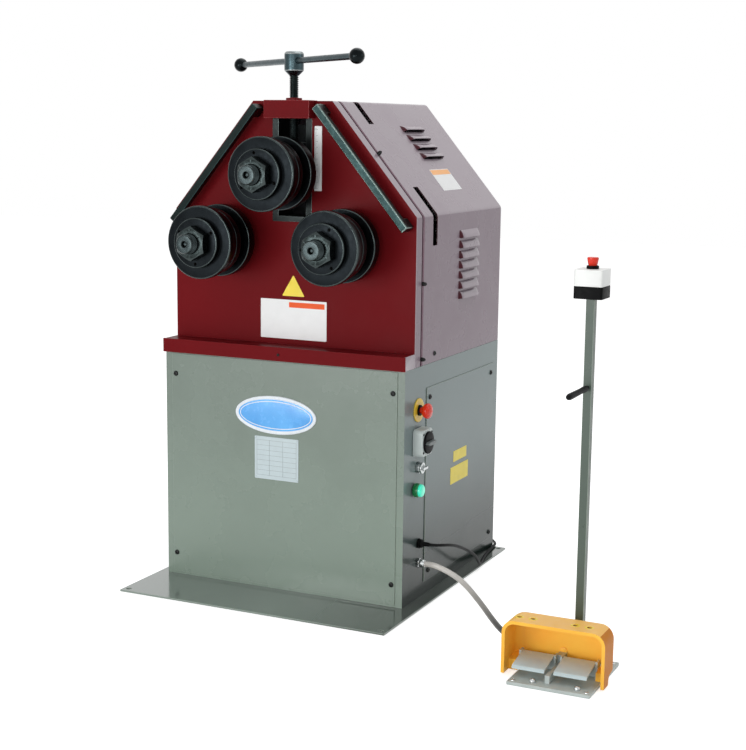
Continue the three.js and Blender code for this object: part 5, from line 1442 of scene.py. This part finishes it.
# %% Post and stop station
post_x, post_y, grip_z = 878, -479, 654
rebuilt("post", 1.8, [post_green, grey_green_edge], edge_material=1)
grip_profile = [(0, 10.3), (5, 10.3), (5, 22), (7.2, 22, 1), (7.5, 30, 2), (6.6, 60, 6), (7.2, 100, 8),
                (7.5, 140, 4), (5.5, 150, 2.5), (0, 152)]
piece("post_handle", moved(turned(grip_profile, 32), pointing((0, -1, 0), (post_x, post_y, grip_z))),
      [grip_rubber, grip_rubber], slot="grip_rubber", replaces=["post_grip"], angle=50)
rebuilt("station_base", 2.0, [black_plastic], segments=3)
rebuilt("station_lid", 2.4, [white_plastic], segments=3)
station_collar = [(11.2, 924.4), (14, 924.4, 0.4), (14, 931.4, 1), (11.2, 931.4)]
station_head = [(0, 894), (9, 894, 0.5), (9, 932.3), (10.2, 932.3, 0.6), (13, 946, 1.5), (13, 949, 1.2),
                (11.6, 950.3, 0.6), (0, 950.3)]
piece("station_collar", moved(turned(station_collar, 40, True), at(post_x, post_y)),
      [black_plastic, black_plastic], slot="black_plastic")
piece("station_head", moved(turned(station_head, 48), at(post_x, post_y)), [red_plastic, red_plastic],
      body="station_stop", slot="red_plastic", replaces=["station_button"], angle=40)
print("station top at z", station_head[-1][1])

# %% [markdown]
# The guard is one moulded shell, and no simple solid has its form. It is lofted: at each depth an arch,
# narrower and lower towards the back where plan and profile round off. The same arches, drawn in by the
# wall, make its inside. Behind its front legs the lower edge is cut up and slants.

# %% Guard arch
guard_x, guard_front, guard_back, guard_top, guard_half = 863, -636, -542, 130, 122
guard_corner, guard_profile, guard_wall = 30, 22, 8
leg_foot, leg_depth, leg_fade = 3, 34, 4
cut_depth, cut_low, cut_rise = 36, 24, 7
flat_rows, round_rows, arch_steps, side_points = 14, 10, 10, 4


def limited(value, low, high):
    return min(max(value, low), high)


def under_cut(y):
    """Height of the guard's slanted lower edge behind its front legs."""
    start = guard_front + cut_depth
    return cut_low + cut_rise * limited((y - start) / (guard_back - start), 0, 1)


def round_off(y, start, radius):
    """How far a rounded end has drawn in at y."""
    gone = limited(y - start, 0, radius)
    return radius - math.sqrt(radius * radius - gone * gone)


def guard_arch(y, inset):
    back = guard_back - inset
    corner, profile = guard_corner - inset, guard_profile - inset
    half = guard_half - inset - round_off(y, back - corner, corner)
    top = guard_top - inset - round_off(y, back - profile, profile)
    behind_leg = limited((y - guard_front - leg_depth) / leg_fade, 0, 1)
    foot = leg_foot + (under_cut(y) - leg_foot) * behind_leg
    out = [(half, foot + (top - corner - foot) * k / side_points) for k in range(side_points)]
    out += [(half - corner + corner * math.cos(a), top - corner + corner * math.sin(a))
            for a in (k / arch_steps * math.pi / 2 for k in range(arch_steps + 1))]
    return [(guard_x + x, y, z) for x, z in out] + [(guard_x - x, y, z) for x, z in reversed(out)]


print("an arch has", len(guard_arch(guard_front, 0)), "points")

# %% [markdown]
# Arches from front to back make a skin that is closed at the back and open below. The outer and the inner one
# are joined round their common edge, which gives the shell its wall.

# %% Guard shell
def guard_skin(inset):
    """Arches from the front to the back, close together where the shell turns round."""
    back = guard_back - inset
    start = back - guard_corner
    depths = [guard_front + (start - guard_front) * k / flat_rows for k in range(flat_rows)]
    depths += [start + guard_corner * math.sin(k / round_rows * math.pi / 2) for k in range(round_rows)]
    rows = [guard_arch(y, inset) for y in depths + [back - 0.01]]
    points, faces, _ = stitched(rows, closed=False, ends=False)
    count, last, end = len(rows[0]), len(points) - len(rows[0]), len(points) - 1
    back_wall = [(last + k, last + k + 1, end - 1 - k, end - k) for k in range(count // 2 - 1)]
    edge = [i for i in border(len(rows), count) if i <= last or i == end]
    return points, faces + back_wall, edge


outer_skin, skin_faces, skin_edge = guard_skin(0)
inner_skin = guard_skin(guard_wall)[0]
guard = piece("guard_shell", walled(outer_skin, inner_skin, skin_faces, skin_edge),
              [orange_paint, orange_edge, dark_hole, orange_shaded_side, orange_lit_top], slot="orange_paint",
              replaces=["pedal_guard"], angle=50)
print("guard:", len(guard.data.polygons), "faces")

# %% [markdown]
# Four screw pits are cut into the top, and a bevel rounds every edge. The right side then gets the paint in
# painted shade and the top gets it painted lit. A plug and a ring in each pit are what one sees of the
# fixings;
# the ring's yellower colour is a painted highlight.

# %% Guard pits
pit_places = [(771, -600), (804, -600), (904, -600), (937, -600)]
pit = turned([(0, 124), (5.5, 124), (6.5, 136), (0, 136)], 24)
for x, y in pit_places:
    cut(guard, moved(pit, at(x, y)))
bevelled(guard, 2.2, 3, angle=50, edge_material=1)
facing(guard, 3, lambda normal, centre: normal.x > 0.6 and centre.x > guard_x * MM)
facing(guard, 4, lambda normal, centre: normal.z > 0.8 and centre.z > 0.12)
pit_plug = marked(turned([(0, 127), (4.6, 127), (4.6, 128.4), (0, 128.6)], 20), 0)
pit_ring = marked(turned([(6.6, 129.6), (11, 129.6), (11, 130.3, 0.3), (6.6, 130.3)], 32, True), 1)
trims = [moved(made, at(x, y)) for x, y in pit_places for made in (pit_plug, pit_ring)]
piece("guard_dimples", together(*trims), [dark_hole, pit_ring_highlight], slot="orange_paint")
print("guard pits:", len(pit_places))

# %% [markdown]
# Beside the pedals the shell turns in to a narrow floor that follows the slanted edge. Two short skirts close
# it behind the legs, and a round boss stands on the inside of the back wall.

# %% Guard floor
floor_wall, floor_inner, floor_steps = 4, 93.1, 12


def floor_strip(side):
    front = guard_front + cut_depth
    rows = []
    for i in range(floor_steps + 1):
        y = front + (guard_back - 2 - front) * i / floor_steps
        low = under_cut(y)
        gone = limited(y - (guard_back - guard_corner), 0, guard_corner - 0.1)
        reach = guard_half - 1 - (guard_corner - math.sqrt(guard_corner ** 2 - gone * gone))
        inner = min(floor_inner, reach - 1)
        corners = ((inner, low), (reach, low), (reach, low + floor_wall), (inner, low + floor_wall))
        rows.append([(guard_x + side * out, y, z) for out, z in corners])
    return stitched(rows)


skirt_back, skirt_top = guard_front + cut_depth, 28
skirt_front = skirt_back - floor_wall
skirt_reach = guard_half - 1
skirts = [block(guard_x - skirt_reach, guard_x - floor_inner, skirt_front, skirt_back, leg_foot, skirt_top),
          block(guard_x + floor_inner, guard_x + skirt_reach, skirt_front, skirt_back, base_top + 0.3,
                skirt_top)]
boss_profile = [(0, 0.2), (9, 0.2), (8.6, 2.4, 1), (0, 3)]
boss_y, boss_z = -550, 47
boss = moved(turned(boss_profile, 32), pointing((0, -1, 0), (guard_x, boss_y, boss_z)))
piece("guard_floor", together(floor_strip(-1), floor_strip(1), *skirts, boss), [orange_paint, orange_edge],
      slot="orange_paint")
print("guard floor:", len(skirts), "skirts")

# %% [markdown]
# ## Inside
# The drive train and the control box sit behind the sheets, where the photograph doesn't look. They keep
# their CAD shapes, with rounded edges: fine ones on gears and nut, broad ones on castings.

# %% Inner parts
fine_edge, broad_edge = 0.5, 1.2
for node, width, material, slot_name, body in (
        ("bed_plate", broad_edge, cast_grey, "cast_grey", "machine"),
        ("rear_plate", broad_edge, cast_grey, "cast_grey", "machine"),
        ("gearbox", broad_edge, cast_grey, "cast_grey", "machine"),
        ("drive_motor", broad_edge, motor_grey, "motor_grey", "machine"),
        ("control_box", broad_edge, grey_plastic, "grey_plastic", "machine"),
        ("spindle_nut", fine_edge, bronze, "bronze", "machine"),
        ("left_gear", fine_edge, gear_steel, "gear_steel", "left_roller"),
        ("right_gear", fine_edge, gear_steel, "gear_steel", "right_roller"),
        ("drive_pinion", fine_edge, gear_steel, "gear_steel", "pinion")):
    rebuilt(node, width, [material], body=body)
    print(node, "rides on", body)

# %% [markdown]
# ## Light and floor
# A plain studio: broad soft lamps, one in front for the shape, one weak one beside it against hard shadows, a
# cool one on the right and one above for the tops.

# %% Lamps
def lamp(name, place, target, size, power, tone=(1, 1, 1)):
    data = bpy.data.lights.new(name, "AREA")
    data.shape = "RECTANGLE"
    data.size, data.size_y = size
    data.energy = power
    data.color = tone
    made_object = placed(name, data)
    made_object.location = place
    made_object.rotation_euler = (Vector(target) - Vector(place)).to_track_quat("-Z", "Y").to_euler()


lamp("key", (-1.4, -5.2, 0.95), (0, 0, 0.45), (2.4, 1.6), 94)
lamp("fill", (1.3, -5.0, 1.3), (0.4, -0.3, 0.4), (1.0, 1.0), 22)
lamp("side", (3.2, 0.6, 1.9), (0.35, 0.1, 0.9), (1.6, 1.2), 8, (0.94, 0.97, 1.0))
lamp("top", (0.3, 0.8, 4.2), (0, 0, 0.5), (3.0, 3.0), 54)
print(len(bpy.data.lights), "lamps")

# %% [markdown]
# White behind the machine could come from more light, but that would bleach the machine too. Instead the
# world is white only for rays from the camera, off a gloss or through glass, and half as strong for the light
# that falls on the object.

# %% World
def background_rays(tree):
    """1 for rays that should see the plain background: from the camera, off a gloss or through glass."""
    rays = tree.nodes.new("ShaderNodeLightPath")
    both = rays.outputs["Is Camera Ray"]
    for kind in ("Is Glossy Ray", "Is Transmission Ray"):
        either = tree.nodes.new("ShaderNodeMath")
        either.operation = "MAXIMUM"
        tree.links.new(both, either.inputs[0])
        tree.links.new(rays.outputs[kind], either.inputs[1])
        both = either.outputs["Value"]
    return both


world = bpy.data.worlds.new("studio")
scene.world = world
world.use_nodes = True
world_tree = world.node_tree
sky = world_tree.nodes["Background"]
seen = world_tree.nodes.new("ShaderNodeBackground")
for background, strength in ((sky, 0.5), (seen, 1.0)):
    background.inputs["Color"].default_value = (1, 1, 1, 1)
    background.inputs["Strength"].default_value = strength
pick = world_tree.nodes.new("ShaderNodeMixShader")
world_tree.links.new(background_rays(world_tree), pick.inputs["Fac"])
world_tree.links.new(sky.outputs["Background"], pick.inputs[1])
world_tree.links.new(seen.outputs["Background"], pick.inputs[2])
world_tree.links.new(pick.outputs["Shader"], world_tree.nodes["World Output"].inputs["Surface"])
print("world light:", sky.inputs["Strength"].default_value)

# %% [markdown]
# The floor is pale and dull and glows for the same rays, so it joins the white background and still keeps the
# machine's shadow. It lies a hair below the machine, and rides on no body of the part.

# %% Floor
floor_reach, floor_drop = 12, 0.0006
floor_material = bpy.data.materials.new("studio_floor")
floor_material.use_nodes = True
floor_tree = floor_material.node_tree
floor_shader = floor_tree.nodes["Principled BSDF"]
floor_shader.inputs["Base Color"].default_value = (0.93, 0.93, 0.93, 1)
floor_shader.inputs["Roughness"].default_value = 0.9
floor_shader.inputs["Emission Color"].default_value = (1, 1, 1, 1)
glow = floor_tree.nodes.new("ShaderNodeMath")
glow.operation = "MULTIPLY"
glow.inputs[1].default_value = 0.6
floor_tree.links.new(background_rays(floor_tree), glow.inputs[0])
floor_tree.links.new(glow.outputs["Value"], floor_shader.inputs["Emission Strength"])
floor_mesh = bpy.data.meshes.new("studio_floor")
corners = [(x * floor_reach, y * floor_reach, -floor_drop) for x, y in ((-1, -1), (1, -1), (1, 1), (-1, 1))]
floor_mesh.from_pydata(corners, [], [(0, 1, 2, 3)])
floor_mesh.materials.append(floor_material)
placed("studio_floor", floor_mesh)
print("floor:", 2 * floor_reach, "m across")

# %% View transform
scene.view_settings.view_transform = "Standard"
